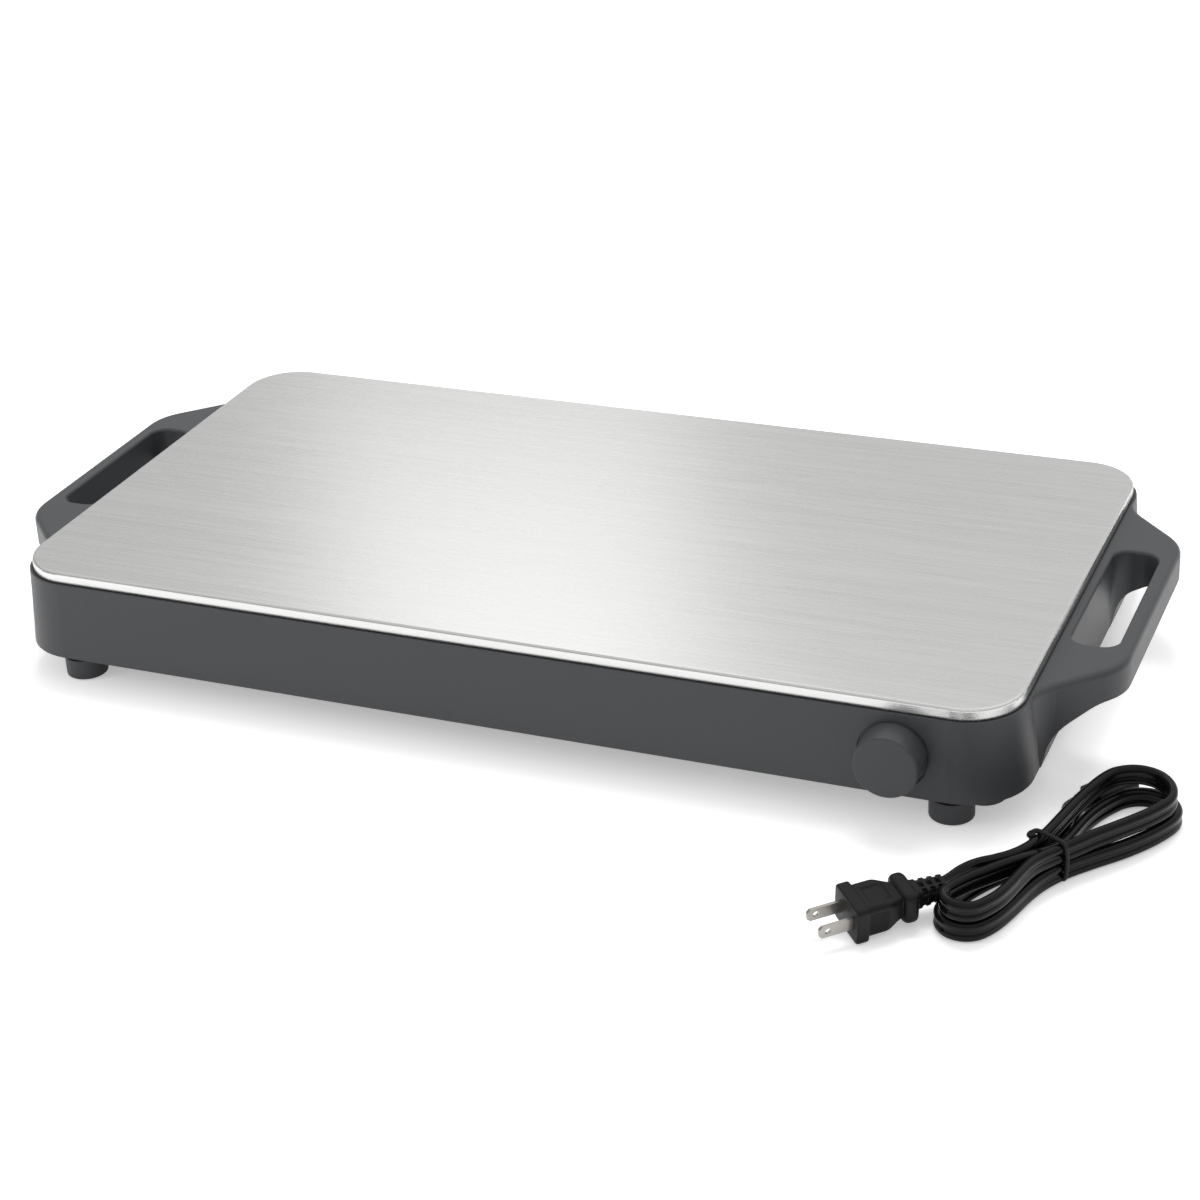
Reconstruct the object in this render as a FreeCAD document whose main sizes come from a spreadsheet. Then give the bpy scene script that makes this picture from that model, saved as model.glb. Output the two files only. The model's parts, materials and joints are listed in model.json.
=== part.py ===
import FreeCAD, Part
import math
import os
import re
import Sketcher
from FreeCAD import Placement, Rotation, Vector

# Electric food warmer tray: a brushed steel hot plate on a moulded housing with two carrying
# handles, a heating rod and thermostat inside, four feet, and a detachable two-core lead that
# lies tied up beside it. Millimetres, +Z up. The origin is the middle of the tray's footprint
# on the surface it stands on; +X runs to the user's right and -Y points at the user.

SIZES = {
    # hot plate
    "plate_length": 560.0,
    "plate_width": 300.0,
    "plate_corner": 30.0,
    "plate_gauge": 1.5,
    "plate_skirt": 6.0,
    "plate_edge": 1.6,
    "tray_height": 67.0,
    # housing wall, rim and the ledge that carries the plate
    "rim_proud": 2.0,
    "rim_drop": 0.4,
    "rim_gap": 0.6,
    "wall_gauge": 2.6,
    "wall_flare": 3.0,
    "housing_base": 17.0,
    "ledge_gauge": 2.5,
    "ledge_depth": 16.0,
    "gasket_height": 3.0,
    "gasket_strip": 7.0,
    "gasket_play": 0.1,
    # handles
    "wing_reach": 38.5,
    "wing_root": 28.0,
    "wing_sweep": 30.0,
    "wing_angle": 44.0,
    "wing_corner": 30.0,
    "wing_bite": 0.1,
    "grip_height": 17.0,
    "wing_edge": 3.5,
    "brow_in": 3.5,
    "brow_rise": 16.0,
    "cove_in": 23.0,
    "cove_round": 18.0,
    "slot_inset": 95.0,
    "slot_near": 5.2,
    "slot_far": 29.7,
    "slot_corner": 9.0,
    "slot_lip": 2.0,
    # base pan
    "pan_gauge": 1.0,
    "pan_inset": 10.0,
    "pan_corner": 12.0,
    "pan_base": 12.0,
    "pan_depth": 7.0,
    "pan_edge": 1.0,
    "pan_play": 0.4,
    # feet
    "foot_across": 23.0,
    "foot_end": 31.5,
    "foot_side": 12.5,
    "foot_edge": 1.0,
    "foot_pad_across": 17.0,
    "foot_pad_gauge": 2.0,
    "foot_pad_proud": 0.4,
    "foot_pad_play": 0.1,
    "foot_floor": 4.0,
    # screws into the housing
    "boss_across": 10.0,
    "pan_screw_end": 150.0,
    "screw_across": 3.0,
    "screw_head": 7.4,
    "screw_head_gauge": 2.4,
    "screw_reach": 16.0,
    "screw_play": 0.4,
    "thread_play": 0.1,
    "hole_play": 0.3,
    # studs, clamps and nuts that draw the plate down
    "stud_end": 54.0,
    "stud_side": 31.0,
    "stud_across": 4.0,
    "stud_tail": 1.4,
    "clamp_width": 16.0,
    "clamp_gauge": 1.5,
    "clamp_lap": 12.0,
    "clamp_heel": 7.0,
    "nut_flats": 7.0,
    "nut_gauge": 3.2,
    # heating rod under its spreader sheet
    "spreader_end": 30.0,
    "spreader_side": 44.0,
    "spreader_gauge": 2.0,
    "spreader_corner": 15.0,
    "rod_across": 6.6,
    "rod_end": 55.0,
    "rod_side": 22.0,
    "rod_tail": 20.0,
    "rod_runs": 4,
    "rod_seat": 0.1,
    "rod_seal_length": 14.0,
    "rod_pin_across": 2.4,
    "rod_pin_length": 10.0,
    "strap_gauge": 0.8,
    "strap_width": 10.0,
    "strap_ear": 7.0,
    "fuse_across": 4.0,
    "fuse_length": 12.0,
    "fuse_end": 58.0,
    "fuse_set": 6.0,
    # reflector tray and its wool
    "reflector_gauge": 0.8,
    "reflector_depth": 6.3,
    "reflector_end": 40.0,
    "reflector_side": 47.0,
    "reflector_gap": 4.0,
    "reflector_rim": 4.0,
    "reflector_flange_corner": 35.0,
    "wool_gauge": 5.5,
    "wool_play": 1.0,
    # knob
    "knob_end": 57.0,
    "knob_drop": 28.2,
    "knob_across": 33.0,
    "knob_draft": 0.7,
    "knob_depth": 15.0,
    "knob_edge": 1.0,
    "knob_shell": 2.2,
    "knob_hollow": 8.0,
    "knob_socket": 12.5,
    "knob_rest_gap": 0.6,
    "seat_sink": 0.2,
    "seat_play": 1.2,
    "seat_lip": 0.4,
    "hub_set": 3.5,
    "socket_fit": 0.05,
    # thermostat
    "spindle_across": 6.0,
    "spindle_flat": 1.5,
    "spindle_fit": 0.05,
    "spindle_in": 9.0,
    "spindle_tip_gap": 0.1,
    "bush_across": 9.6,
    "bush_proud": 1.0,
    "bush_play": 0.15,
    "bush_nut_flats": 14.0,
    "bush_nut_gauge": 2.5,
    "stat_width": 34.0,
    "stat_height": 22.0,
    "stat_depth": 20.0,
    "stat_margin": 2.0,
    "pin_across": 3.0,
    "pin_fit": 0.06,
    "pin_gap": 0.3,
    "pin_travel": 1.2,
    "pin_proud": 0.9,
    "leaf_gauge": 0.5,
    "leaf_width": 5.0,
    "tab_length": 9.0,
    "tab_width": 6.3,
    "tab_gauge": 0.8,
    "tab_spread": 22.0,
    # power inlet in the back wall
    "inlet_end": 80.0,
    "inlet_drop": 28.2,
    "inlet_corner": 2.0,
    "inlet_flange_length": 36.0,
    "inlet_flange_height": 18.0,
    "inlet_flange_gauge": 2.0,
    "inlet_body_length": 21.0,
    "inlet_body_height": 14.0,
    "inlet_body_depth": 18.0,
    "inlet_mouth_length": 15.4,
    "inlet_mouth_height": 8.8,
    "inlet_mouth_corner": 4.2,
    "inlet_mouth_depth": 13.0,
    "inlet_play": 0.3,
    "inlet_pin_across": 2.4,
    "inlet_pin_pitch": 8.6,
    "inlet_pin_reach": 9.5,
    "inlet_tab": 7.2,
    "inlet_screw_pitch": 28.6,
    "inlet_shank": 2.6,
    "inlet_screw_head": 5.4,
    "inlet_head_gauge": 1.6,
    # wiring
    "wire_across": 2.8,
    "wire_bend": 9.0,
    "wire_lift": 5.0,
    "wire_lane_set": 10.0,
    # lead, wound into a hank of two loops
    "hank_right": 26.0,
    "hank_front": 25.8,
    "hank_angle": 60.9,
    "hank_height": 21.0,
    "hank_waist": 17.0,
    "left_loop_reach": 75.0,
    "left_loop_across": 28.0,
    "left_loop_turn": 5.0,
    "right_loop_reach": 88.0,
    "right_loop_across": 40.0,
    "loop_bundle": 9.0,
    "tie_gauge": 2.4,
    "tie_width": 3.2,
    # mains plug
    "plug_along": -56.7,
    "plug_out": 13.5,
    "plug_axis_height": 12.6,
    "plug_turn": 162.9,
    "plug_dip": 1.5,
    "plug_roll": -8.0,
    "plug_flange_width": 24.0,
    "plug_flange_height": 19.5,
    "plug_flange_length": 6.5,
    "plug_body_width": 21.0,
    "plug_body_height": 17.0,
    "plug_body_length": 19.0,
    "plug_neck_width": 15.0,
    "plug_neck_height": 13.0,
    "plug_collar_width": 21.0,
    "plug_collar_height": 16.5,
    "plug_collar_length": 8.0,
    "plug_edge": 2.0,
    "plug_relief_length": 16.5,
    "plug_relief_width": 11.0,
    "plug_relief_height": 9.5,
    "plug_relief_end_width": 9.0,
    "plug_relief_end_height": 7.4,
    "plug_relief_edge": 1.0,
    "prong_pitch": 12.7,
    "prong_length": 17.0,
    "prong_height": 6.6,
    "prong_gauge": 1.6,
    "prong_root": 6.0,
    "prong_hole": 3.2,
    "prong_hole_in": 4.6,
    # appliance connector at the lead's other end
    "connector_along": 54.0,
    "connector_out": 28.8,
    "connector_turn": -4.0,
    "connector_length": 17.0,
    "connector_width": 15.0,
    "connector_height": 8.6,
    "connector_edge": 2.0,
    "connector_nose_length": 9.0,
    "connector_nose_width": 14.0,
    "connector_nose_height": 7.6,
    "connector_nose_edge": 3.0,
    "connector_tail_length": 7.0,
    "connector_tail_width": 9.0,
    "connector_tail_height": 6.8,
    "connector_tail_edge": 1.5,
    "contact_hole": 2.8,
}

# Places, each a pair of expressions in the sizes: (x, y) from the plate's middle, seen from
# above, or (x, height) on the back wall.
FOOT_PLACES = {
    "back_right": ("foot_x", "foot_y"),
    "back_left": ("-foot_x", "foot_y"),
    "front_left": ("-foot_x", "-foot_y"),
    "front_right": ("foot_x", "-foot_y"),
}
PAN_PLACES = [(x, y) for x in ("-pan_screw_x", "pan_screw_x") for y in ("-foot_y", "foot_y")]
SCREW_PLACES = list(FOOT_PLACES.values()) + PAN_PLACES
STUD_PLACES = [(x, y) for x in ("-stud_x", "0", "stud_x") for y in ("-stud_y", "stud_y")]
INLET_SCREWS = [("-inlet_screw_pitch / 2", "0"), ("inlet_screw_pitch / 2", "0")]
INLET_PINS = [("-inlet_pin_pitch / 2", "0"), ("inlet_pin_pitch / 2", "0")]


class Sizes:
    """The sheet's values by name, for shapes that are worked out in code."""


size = Sizes()
doc = FreeCAD.newDocument("food_warmer_tray")
sheet = doc.addObject("Spreadsheet::Sheet", "sizes")
parts = []


def enter(values):
    """Writes values into the sheet, one row each, and keeps them as numbers."""
    first = len(vars(size)) + 1
    for row, (alias, number) in enumerate(values.items(), start=first):
        sheet.set("A%d" % row, alias)
        sheet.set("B%d" % row, "%.9g" % number)
        sheet.setAlias("B%d" % row, alias)
        setattr(size, alias, float(number))
    doc.recompute()


def flare_at(height):
    """How far the housing's outside stands beyond the plate's edge at a height."""
    share = (size.rim_top - height) / (size.rim_top - size.housing_base)
    return size.rim_proud + size.wall_flare * share


enter(SIZES)
enter({
    "plate_under": size.tray_height - size.plate_gauge,
    "skirt_base": size.tray_height - size.plate_skirt,
    "rim_top": size.tray_height - size.plate_skirt - size.rim_drop,
    "foot_line_length": size.plate_length + 2 * (size.rim_proud + size.wall_flare),
    "foot_line_width": size.plate_width + 2 * (size.rim_proud + size.wall_flare),
    "foot_line_corner": size.plate_corner + size.rim_proud + size.wall_flare,
    "seat_face": size.plate_width / 2 + size.rim_proud + size.seat_sink,
    "slot_length": size.plate_width - 2 * size.slot_inset,
    "foot_x": size.plate_length / 2 - size.foot_end,
    "foot_y": size.plate_width / 2 - size.foot_side,
    "pan_screw_x": size.plate_length / 2 - size.pan_screw_end,
    "stud_x": size.plate_length / 2 - size.stud_end,
    "stud_y": size.plate_width / 2 - size.stud_side,
    "spreader_length": size.plate_length - 2 * size.spreader_end,
    "spreader_width": size.plate_width - 2 * size.spreader_side,
    "reflector_length": size.plate_length - 2 * size.reflector_end,
    "reflector_width": size.plate_width - 2 * size.reflector_side,
    "fuse_x": size.plate_length / 2 - size.fuse_end,
    "knob_x": size.plate_length / 2 - size.knob_end,
    "knob_height": size.tray_height - size.knob_drop,
    "inlet_x": size.plate_length / 2 - size.inlet_end,
    "inlet_height": size.tray_height - size.inlet_drop,
    "hank_x": size.plate_length / 2 + size.hank_right,
    "hank_y": -size.plate_width / 2 - size.hank_front,
})
enter({
    "rod_half_run": size.spreader_length / 2 - size.rod_end,
    "rod_pitch": (size.spreader_width - 2 * size.rod_side) / (size.rod_runs - 1),
})
enter({
    "strap_step": size.rod_half_run * 2 / 3,
    "fuse_y": size.rod_pitch + size.fuse_set,
    "wire_lane": size.inlet_x - size.wire_lane_set,
})
enter({
    "ledge_top": size.skirt_base - size.gasket_height,
    "ledge_base": size.skirt_base - size.gasket_height - size.ledge_gauge,
    "grip_base": size.rim_top - size.grip_height,
    "pan_floor": size.pan_base + size.pan_gauge,
    "pan_flange_base": size.pan_base + size.pan_depth - size.pan_gauge,
    "spreader_base": size.plate_under - size.spreader_gauge,
    "seat_back": size.seat_face - size.wall_gauge,
    "knob_back": size.seat_face + size.knob_rest_gap,
    "knob_front": size.seat_face + size.knob_rest_gap + size.knob_depth,
    "knob_base_across": size.knob_across + 2 * size.knob_draft,
})
enter({
    "clamp_base": size.ledge_base - size.clamp_gauge,
    "rod_height": size.spreader_base - size.rod_seat - size.rod_across / 2,
    # The knob stands out in front, so the footprint's middle lies ahead of the plate's.
    "tray_mid": (size.knob_front - size.foot_line_width / 2) / 2,
})
enter({
    "flange_base": size.clamp_base - size.reflector_gauge,
    "reflector_base": size.clamp_base - size.reflector_depth,
    "wool_base": size.clamp_base - size.reflector_depth + size.reflector_gauge,
})


def enter_outline(name, start, grown):
    """Enters the length, width and corner of an outline that follows another one all round."""
    length, width, corner = start
    enter({
        name + "_length": length + 2 * grown,
        name + "_width": width + 2 * grown,
        name + "_corner": corner + grown,
    })


plate = (size.plate_length, size.plate_width, size.plate_corner)
foot_line = (size.foot_line_length, size.foot_line_width, size.foot_line_corner)
dish = (foot_line[0] - 2 * size.pan_inset, foot_line[1] - 2 * size.pan_inset, size.pan_corner)
reflector = (size.reflector_length, size.reflector_width, size.spreader_corner)
enter_outline("plate_inner", plate, -size.plate_gauge)
enter_outline("rim", plate, size.rim_proud)
enter_outline("recess", plate, size.rim_gap)
enter_outline("gasket", plate, size.rim_gap - size.gasket_play)
enter_outline("gasket_hole", plate, size.rim_gap - size.gasket_play - size.gasket_strip)
enter_outline("ledge", plate, -size.ledge_depth)
enter_outline("inside", plate, flare_at(size.ledge_base) - size.wall_gauge)
enter_outline("opening", foot_line, -size.wall_gauge)
enter_outline("dish", dish, 0)
enter_outline("hollow", dish, -size.pan_gauge)
enter_outline("pan_flange", plate,
              flare_at(size.pan_base + size.pan_depth) - size.wall_gauge - size.pan_play)
enter_outline("reflector_hollow", reflector, -size.reflector_gauge)
enter_outline("wool", reflector, -size.reflector_gauge - size.wool_play)
enter({
    "reflector_flange_length": size.ledge_length - 2 * size.reflector_gap,
    "reflector_flange_width": 2 * (size.stud_y + size.reflector_rim),
    "slot_width": size.slot_far - size.slot_near,
    "slot_mid": size.plate_length / 2 + (size.slot_near + size.slot_far) / 2,
    "foot_recess": size.foot_pad_across + 2 * size.foot_pad_play,
    "foot_bore": size.screw_head + 2 * size.screw_play,
    "boss_hole": size.screw_across + 2 * size.thread_play,
    "pan_hole": size.screw_across + 2 * size.hole_play,
    "stud_hole": size.stud_across + 2 * size.hole_play,
    "nut_bore": size.stud_across + 2 * size.thread_play,
    "clamp_tip": size.plate_width / 2 - size.ledge_depth + size.clamp_lap,
    "seat_across": size.knob_base_across + 2 * size.seat_play,
    "seat_boss": size.knob_base_across + 2 * (size.seat_play + size.seat_lip),
    "bush_hole": size.bush_across + 2 * size.bush_play,
    "bush_nut_bore": size.bush_across + 2 * size.thread_play,
    "bush_length": size.wall_gauge + size.bush_nut_gauge + size.bush_proud,
    "spindle_bore": size.spindle_across + 2 * size.spindle_fit,
    "spindle_foot": size.spindle_in - size.seat_back,
    "spindle_length": size.knob_back + size.knob_socket - size.spindle_tip_gap
                      + size.spindle_in - size.seat_back,
    "spindle_round": size.knob_back + size.hub_set + size.spindle_in - size.seat_back,
    "stat_back": size.stat_depth - size.seat_back,
    "stat_low": size.knob_height - size.stat_height / 2,
    "pin_bore": size.pin_across + 2 * size.pin_fit,
    "pin_length": size.stat_depth + size.pin_proud - size.spindle_in - size.pin_gap,
    "leaf_lift": size.pin_proud + size.pin_travel + size.pin_gap,
    "inlet_face": size.seat_face + size.inlet_flange_gauge,
    "inlet_mouth_base": size.seat_face + size.inlet_flange_gauge - size.inlet_mouth_depth,
    "inlet_pin_end": size.seat_face - size.inlet_body_depth - size.inlet_tab,
    "inlet_clear_hole": size.inlet_shank + 2 * size.hole_play,
    "inlet_screw_hole": size.inlet_shank + 2 * size.thread_play,
})
inlet_flange = (size.inlet_flange_length, size.inlet_flange_height, size.inlet_corner)
inlet_body = (size.inlet_body_length, size.inlet_body_height, size.inlet_corner)
enter_outline("inlet_seat", inlet_flange, size.inlet_play)
enter_outline("inlet_boss", inlet_flange, size.inlet_play + size.seat_lip)
enter_outline("inlet_hole", inlet_body, size.inlet_play)


def cells(text):
    """An expression in which every size's name stands for its cell."""
    names = vars(size)
    return re.sub(r"[a-z_]+", lambda word: "sizes." + word[0] if word[0] in names else word[0], text)


def bind(thing, **texts):
    """Ties properties to the sheet; a double underscore in a name stands for a dot."""
    for name, text in texts.items():
        thing.setExpression(name.replace("__", "."), cells(text))


def keep(thing, name):
    """Marks an object as one of the tray's pieces, under the name its file gets."""
    thing.Label = name
    parts.append(thing)
    return thing


# Plain solids. Each is given by expressions, with y counted from the middle of the plate.

def box(name, length, width, height, x, y, z):
    """A block centred on x and y that stands on z."""
    block = doc.addObject("Part::Box", name)
    bind(block, Length=length, Width=width, Height=height)
    bind(block, Placement__Base__x="%s - (%s) / 2" % (x, length))
    bind(block, Placement__Base__y="tray_mid + %s - (%s) / 2" % (y, width))
    bind(block, Placement__Base__z=z)
    return block


TURNS = {
    "up": Rotation(),
    "right": Rotation(Vector(0, 1, 0), 90),
    "back": Rotation(Vector(1, 0, 0), -90),
    "front": Rotation(Vector(1, 0, 0), 90),
}


def rod(name, across, length, x, y, z, way="up"):
    """A round bar that starts at x, y, z and runs up, right, back or front."""
    bar = doc.addObject("Part::Cylinder", name)
    bar.Placement = Placement(Vector(), TURNS[way])
    bind(bar, Radius="(%s) / 2" % across, Height=length)
    bind(bar, Placement__Base__x=x, Placement__Base__y="tray_mid + " + y, Placement__Base__z=z)
    return bar


def prism(name, flats, length, x, y, z, way="up"):
    """A hexagonal bar, by the distance across its flats."""
    bar = doc.addObject("Part::Prism", name)
    bar.Polygon = 6
    bar.Placement = Placement(Vector(), TURNS[way])
    bind(bar, Circumradius="(%s) / sqrt(3)" % flats, Height=length)
    bind(bar, Placement__Base__x=x, Placement__Base__y="tray_mid + " + y, Placement__Base__z=z)
    return bar


def fuse(name, *solids):
    whole = doc.addObject("Part::MultiFuse", name)
    whole.Shapes = list(solids)
    return whole


def cut(name, base, *tools):
    """The base less every tool."""
    rest = base
    for count, tool in enumerate(tools, start=1):
        less = doc.addObject("Part::Cut", name if count == len(tools) else "%s_%d" % (name, count))
        less.Base = rest
        less.Tool = tool
        rest = less
    return rest


def group(name, solids):
    """Identical loose pieces that share one file."""
    several = doc.addObject("Part::Compound", name)
    several.Links = list(solids)
    return several


def made(name, shape):
    """A piece whose outline follows a path or a slant, given in the plate's own frame."""
    piece = doc.addObject("Part::Feature", name)
    piece.Shape = shape
    piece.Placement = Placement(Vector(0, size.tray_mid, 0), Rotation()).multiply(shape.Placement)
    return piece


# Bodies that are drawn as sketches.

def new_body(name):
    body = doc.addObject("PartDesign::Body", name)
    bind(body, Placement__Base__y="tray_mid")
    return keep(body, name)


def sketch_on(body, name, role="XY_Plane", lift="0", across="0", along="0"):
    """A sketch on one of the body's own planes, lifted off it and shifted within it."""
    sketch = body.newObject("Sketcher::SketchObject", name)
    support = next(item for item in body.Origin.OriginFeatures if item.Role == role)
    sketch.AttachmentSupport = [(support, "")]
    sketch.MapMode = "FlatFace"
    bind(sketch, AttachmentOffset__Base__x=across, AttachmentOffset__Base__y=along)
    bind(sketch, AttachmentOffset__Base__z=lift)
    return sketch


def draw_rounded_rectangle(sketch, length, width, corner):
    """A rectangle about the sketch's origin with equal round corners, tied to three sizes."""
    half_x = getattr(size, length) / 2
    half_y = getattr(size, width) / 2
    turn = getattr(size, corner)
    in_x = half_x - turn
    in_y = half_y - turn
    up = Vector(0, 0, 1)
    ends = [
        (Vector(-in_x, -half_y), Vector(in_x, -half_y)),
        (Vector(half_x, -in_y), Vector(half_x, in_y)),
        (Vector(in_x, half_y), Vector(-in_x, half_y)),
        (Vector(-half_x, in_y), Vector(-half_x, -in_y)),
    ]
    centres = [Vector(in_x, -in_y), Vector(in_x, in_y), Vector(-in_x, in_y), Vector(-in_x, -in_y)]
    sides = [sketch.addGeometry(Part.LineSegment(a, b), False) for a, b in ends]
    bends = []
    for quarter, centre in enumerate(centres):
        start = math.radians(90 * quarter - 90)
        arc = Part.ArcOfCircle(Part.Circle(centre, up, turn), start, start + math.pi / 2)
        bends.append(sketch.addGeometry(arc, False))
    for number in range(4):
        following = (number + 1) % 4
        sketch.addConstraint(Sketcher.Constraint("Tangent", sides[number], 2, bends[number], 1))
        sketch.addConstraint(Sketcher.Constraint("Tangent", bends[number], 2, sides[following], 1))
    sketch.addConstraint(Sketcher.Constraint("Horizontal", sides[0]))
    sketch.addConstraint(Sketcher.Constraint("Vertical", sides[1]))
    sketch.addConstraint(Sketcher.Constraint("Equal", bends[0], bends[1]))
    sketch.addConstraint(Sketcher.Constraint("Equal", bends[1], bends[2]))
    sketch.addConstraint(Sketcher.Constraint("Equal", bends[2], bends[3]))
    sketch.addConstraint(Sketcher.Constraint("Symmetric", bends[0], 3, bends[2], 3, -1, 1))
    for label, value, constraint in (
        ("corner", turn, ("Radius", bends[0])),
        ("length", 2 * in_x, ("DistanceX", sides[0], 1, sides[0], 2)),
        ("width", 2 * in_y, ("DistanceY", sides[1], 1, sides[1], 2)),
    ):
        number = sketch.addConstraint(Sketcher.Constraint(*constraint, value))
        sketch.renameConstraint(number, label)
    sketch.setExpression("Constraints.corner", cells(corner))
    sketch.setExpression("Constraints.length", cells("%s - 2 * %s" % (length, corner)))
    sketch.setExpression("Constraints.width", cells("%s - 2 * %s" % (width, corner)))


def draw_outline(sketch, name):
    """The rounded rectangle whose length, width and corner are entered under one name."""
    draw_rounded_rectangle(sketch, name + "_length", name + "_width", name + "_corner")


def draw_circles(sketch, across, places):
    """Equal circles at places, each a pair of expressions, tied to one diameter."""
    turn = getattr(size, across) / 2
    for number, (x, y) in enumerate(places):
        circle = sketch.addGeometry(Part.Circle(Vector(), Vector(0, 0, 1), turn), False)
        for label, text, constraint in (
            ("across_%d" % number, across, ("Diameter", circle, 2 * turn)),
            ("x_%d" % number, x, ("DistanceX", -1, 1, circle, 3, 1.0)),
            ("y_%d" % number, y, ("DistanceY", -1, 1, circle, 3, 1.0)),
        ):
            sketch.renameConstraint(sketch.addConstraint(Sketcher.Constraint(*constraint)), label)
            sketch.setExpression("Constraints." + label, cells(text))


def draw_path(sketch, edges):
    """A closed outline of lines and arcs that are worked out from the sizes."""
    for edge in edges:
        sketch.addGeometry(edge, False)


def extrude(body, kind, name, sketch, length=None, reverse=False, through=False):
    """A Pad or a Pocket of a sketch, by a length or right through both ways."""
    feature = body.newObject("PartDesign::" + kind, name)
    feature.Profile = sketch
    feature.Reversed = reverse
    if through:
        feature.Type = "ThroughAll"
        feature.Midplane = True
    else:
        bind(feature, Length=length)
    sketch.Visibility = False
    doc.recompute()
    return feature


def loft(body, kind, name, sketches):
    """An additive or subtractive loft with straight sides between two sketches."""
    feature = body.newObject("PartDesign::" + kind, name)
    feature.Profile = sketches[0]
    feature.Sections = sketches[1:]
    feature.Ruled = True
    doc.recompute()
    return feature


def round_edges(body, name, radius, wanted):
    """A fillet on the edges of the body's last feature for which wanted is true."""
    base = body.Tip
    names = ["Edge%d" % n for n, edge in enumerate(base.Shape.Edges, start=1) if wanted(edge)]
    feature = body.newObject("PartDesign::Fillet", name)
    feature.Base = (base, names)
    bind(feature, Radius=radius)
    doc.recompute()
    return feature


def level(edge, height):
    """Whether an edge lies at one height."""
    return all(abs(edge.valueAt(t).z - height) < 1e-4 for t in (edge.FirstParameter, edge.LastParameter))


# Hot plate: a pressed stainless sheet with its edge turned down.

def make_top_plate():
    body = new_body("top_plate")
    outer = sketch_on(body, "plate_outline", lift="skirt_base")
    draw_outline(outer, "plate")
    extrude(body, "Pad", "plate_block", outer, "plate_skirt")
    round_edges(body, "plate_edge_round", "plate_edge", lambda edge: level(edge, size.tray_height))
    inner = sketch_on(body, "plate_hollow_outline", lift="skirt_base")
    draw_outline(inner, "plate_inner")
    extrude(body, "Pocket", "plate_hollow", inner, "plate_under - skirt_base", reverse=True)


def make_gasket():
    body = new_body("plate_gasket")
    outer = sketch_on(body, "gasket_outline", lift="ledge_top")
    draw_outline(outer, "gasket")
    extrude(body, "Pad", "gasket_strip", outer, "gasket_height")
    inner = sketch_on(body, "gasket_hole_outline", lift="ledge_top")
    draw_outline(inner, "gasket_hole")
    extrude(body, "Pocket", "gasket_hole", inner, through=True)


def outline(corners):
    """Closed lines and tangent arcs through corners, each (x, y, radius of its round)."""
    points = [Vector(x, y, 0) for x, y, radius in corners]
    starts = []
    ends = []
    bends = []
    for number, (x, y, radius) in enumerate(corners):
        here = points[number]
        before = (points[number - 1] - here).normalize()
        after = (points[(number + 1) % len(points)] - here).normalize()
        if radius == 0:
            starts.append(here)
            ends.append(here)
            bends.append(None)
            continue
        half_turn = before.getAngle(after) / 2
        reach = radius / math.tan(half_turn)
        middle = (before + after).normalize() * (radius / math.sin(half_turn) - radius)
        starts.append(here + before * reach)
        ends.append(here + after * reach)
        bends.append(here + middle)
    edges = []
    for number, bend in enumerate(bends):
        if bend is not None:
            edges.append(Part.Arc(starts[number], bend, ends[number]))
        following = (number + 1) % len(points)
        if ends[number].distanceToPoint(starts[following]) > 1e-6:
            edges.append(Part.LineSegment(ends[number], starts[following]))
    return edges


# Housing: one moulding, a flared wall with a ledge inside and a handle at each end.

def wing_plan():
    """Both handles and the middle between them, seen from above."""
    lean = math.radians(size.wing_angle)
    end = size.plate_length / 2
    root_y = size.plate_width / 2 - size.wing_root
    root_x = end + size.rim_proud - size.wing_bite
    bend_y = root_y - size.wing_sweep * math.tan(lean / 2)
    grip_x = end + size.wing_reach
    grip_y = bend_y - (grip_x - root_x) / math.tan(lean)
    front = [
        (root_x, -root_y, 0),
        (root_x, -bend_y, size.wing_sweep),
        (grip_x, -grip_y, size.wing_corner),
    ]
    right = front + [(x, -y, radius) for x, y, radius in reversed(front)]
    return right + [(-x, -y, radius) for x, y, radius in right]


def under_wing(side):
    """What is taken away beneath one handle, seen from the front: the wall sweeps out to the grip."""
    start = size.foot_line_length / 2
    below = size.housing_base - size.wall_gauge
    corners = [
        (start - size.wing_bite, below, 0),
        (start + size.brow_in, size.housing_base + size.brow_rise, size.cove_round),
        (start + size.cove_in, size.grip_base, size.cove_round),
        (start + size.wing_reach, size.grip_base, 0),
        (start + size.wing_reach, below, 0),
    ]
    return [(side * x, z, radius) for x, z, radius in corners]


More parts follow.
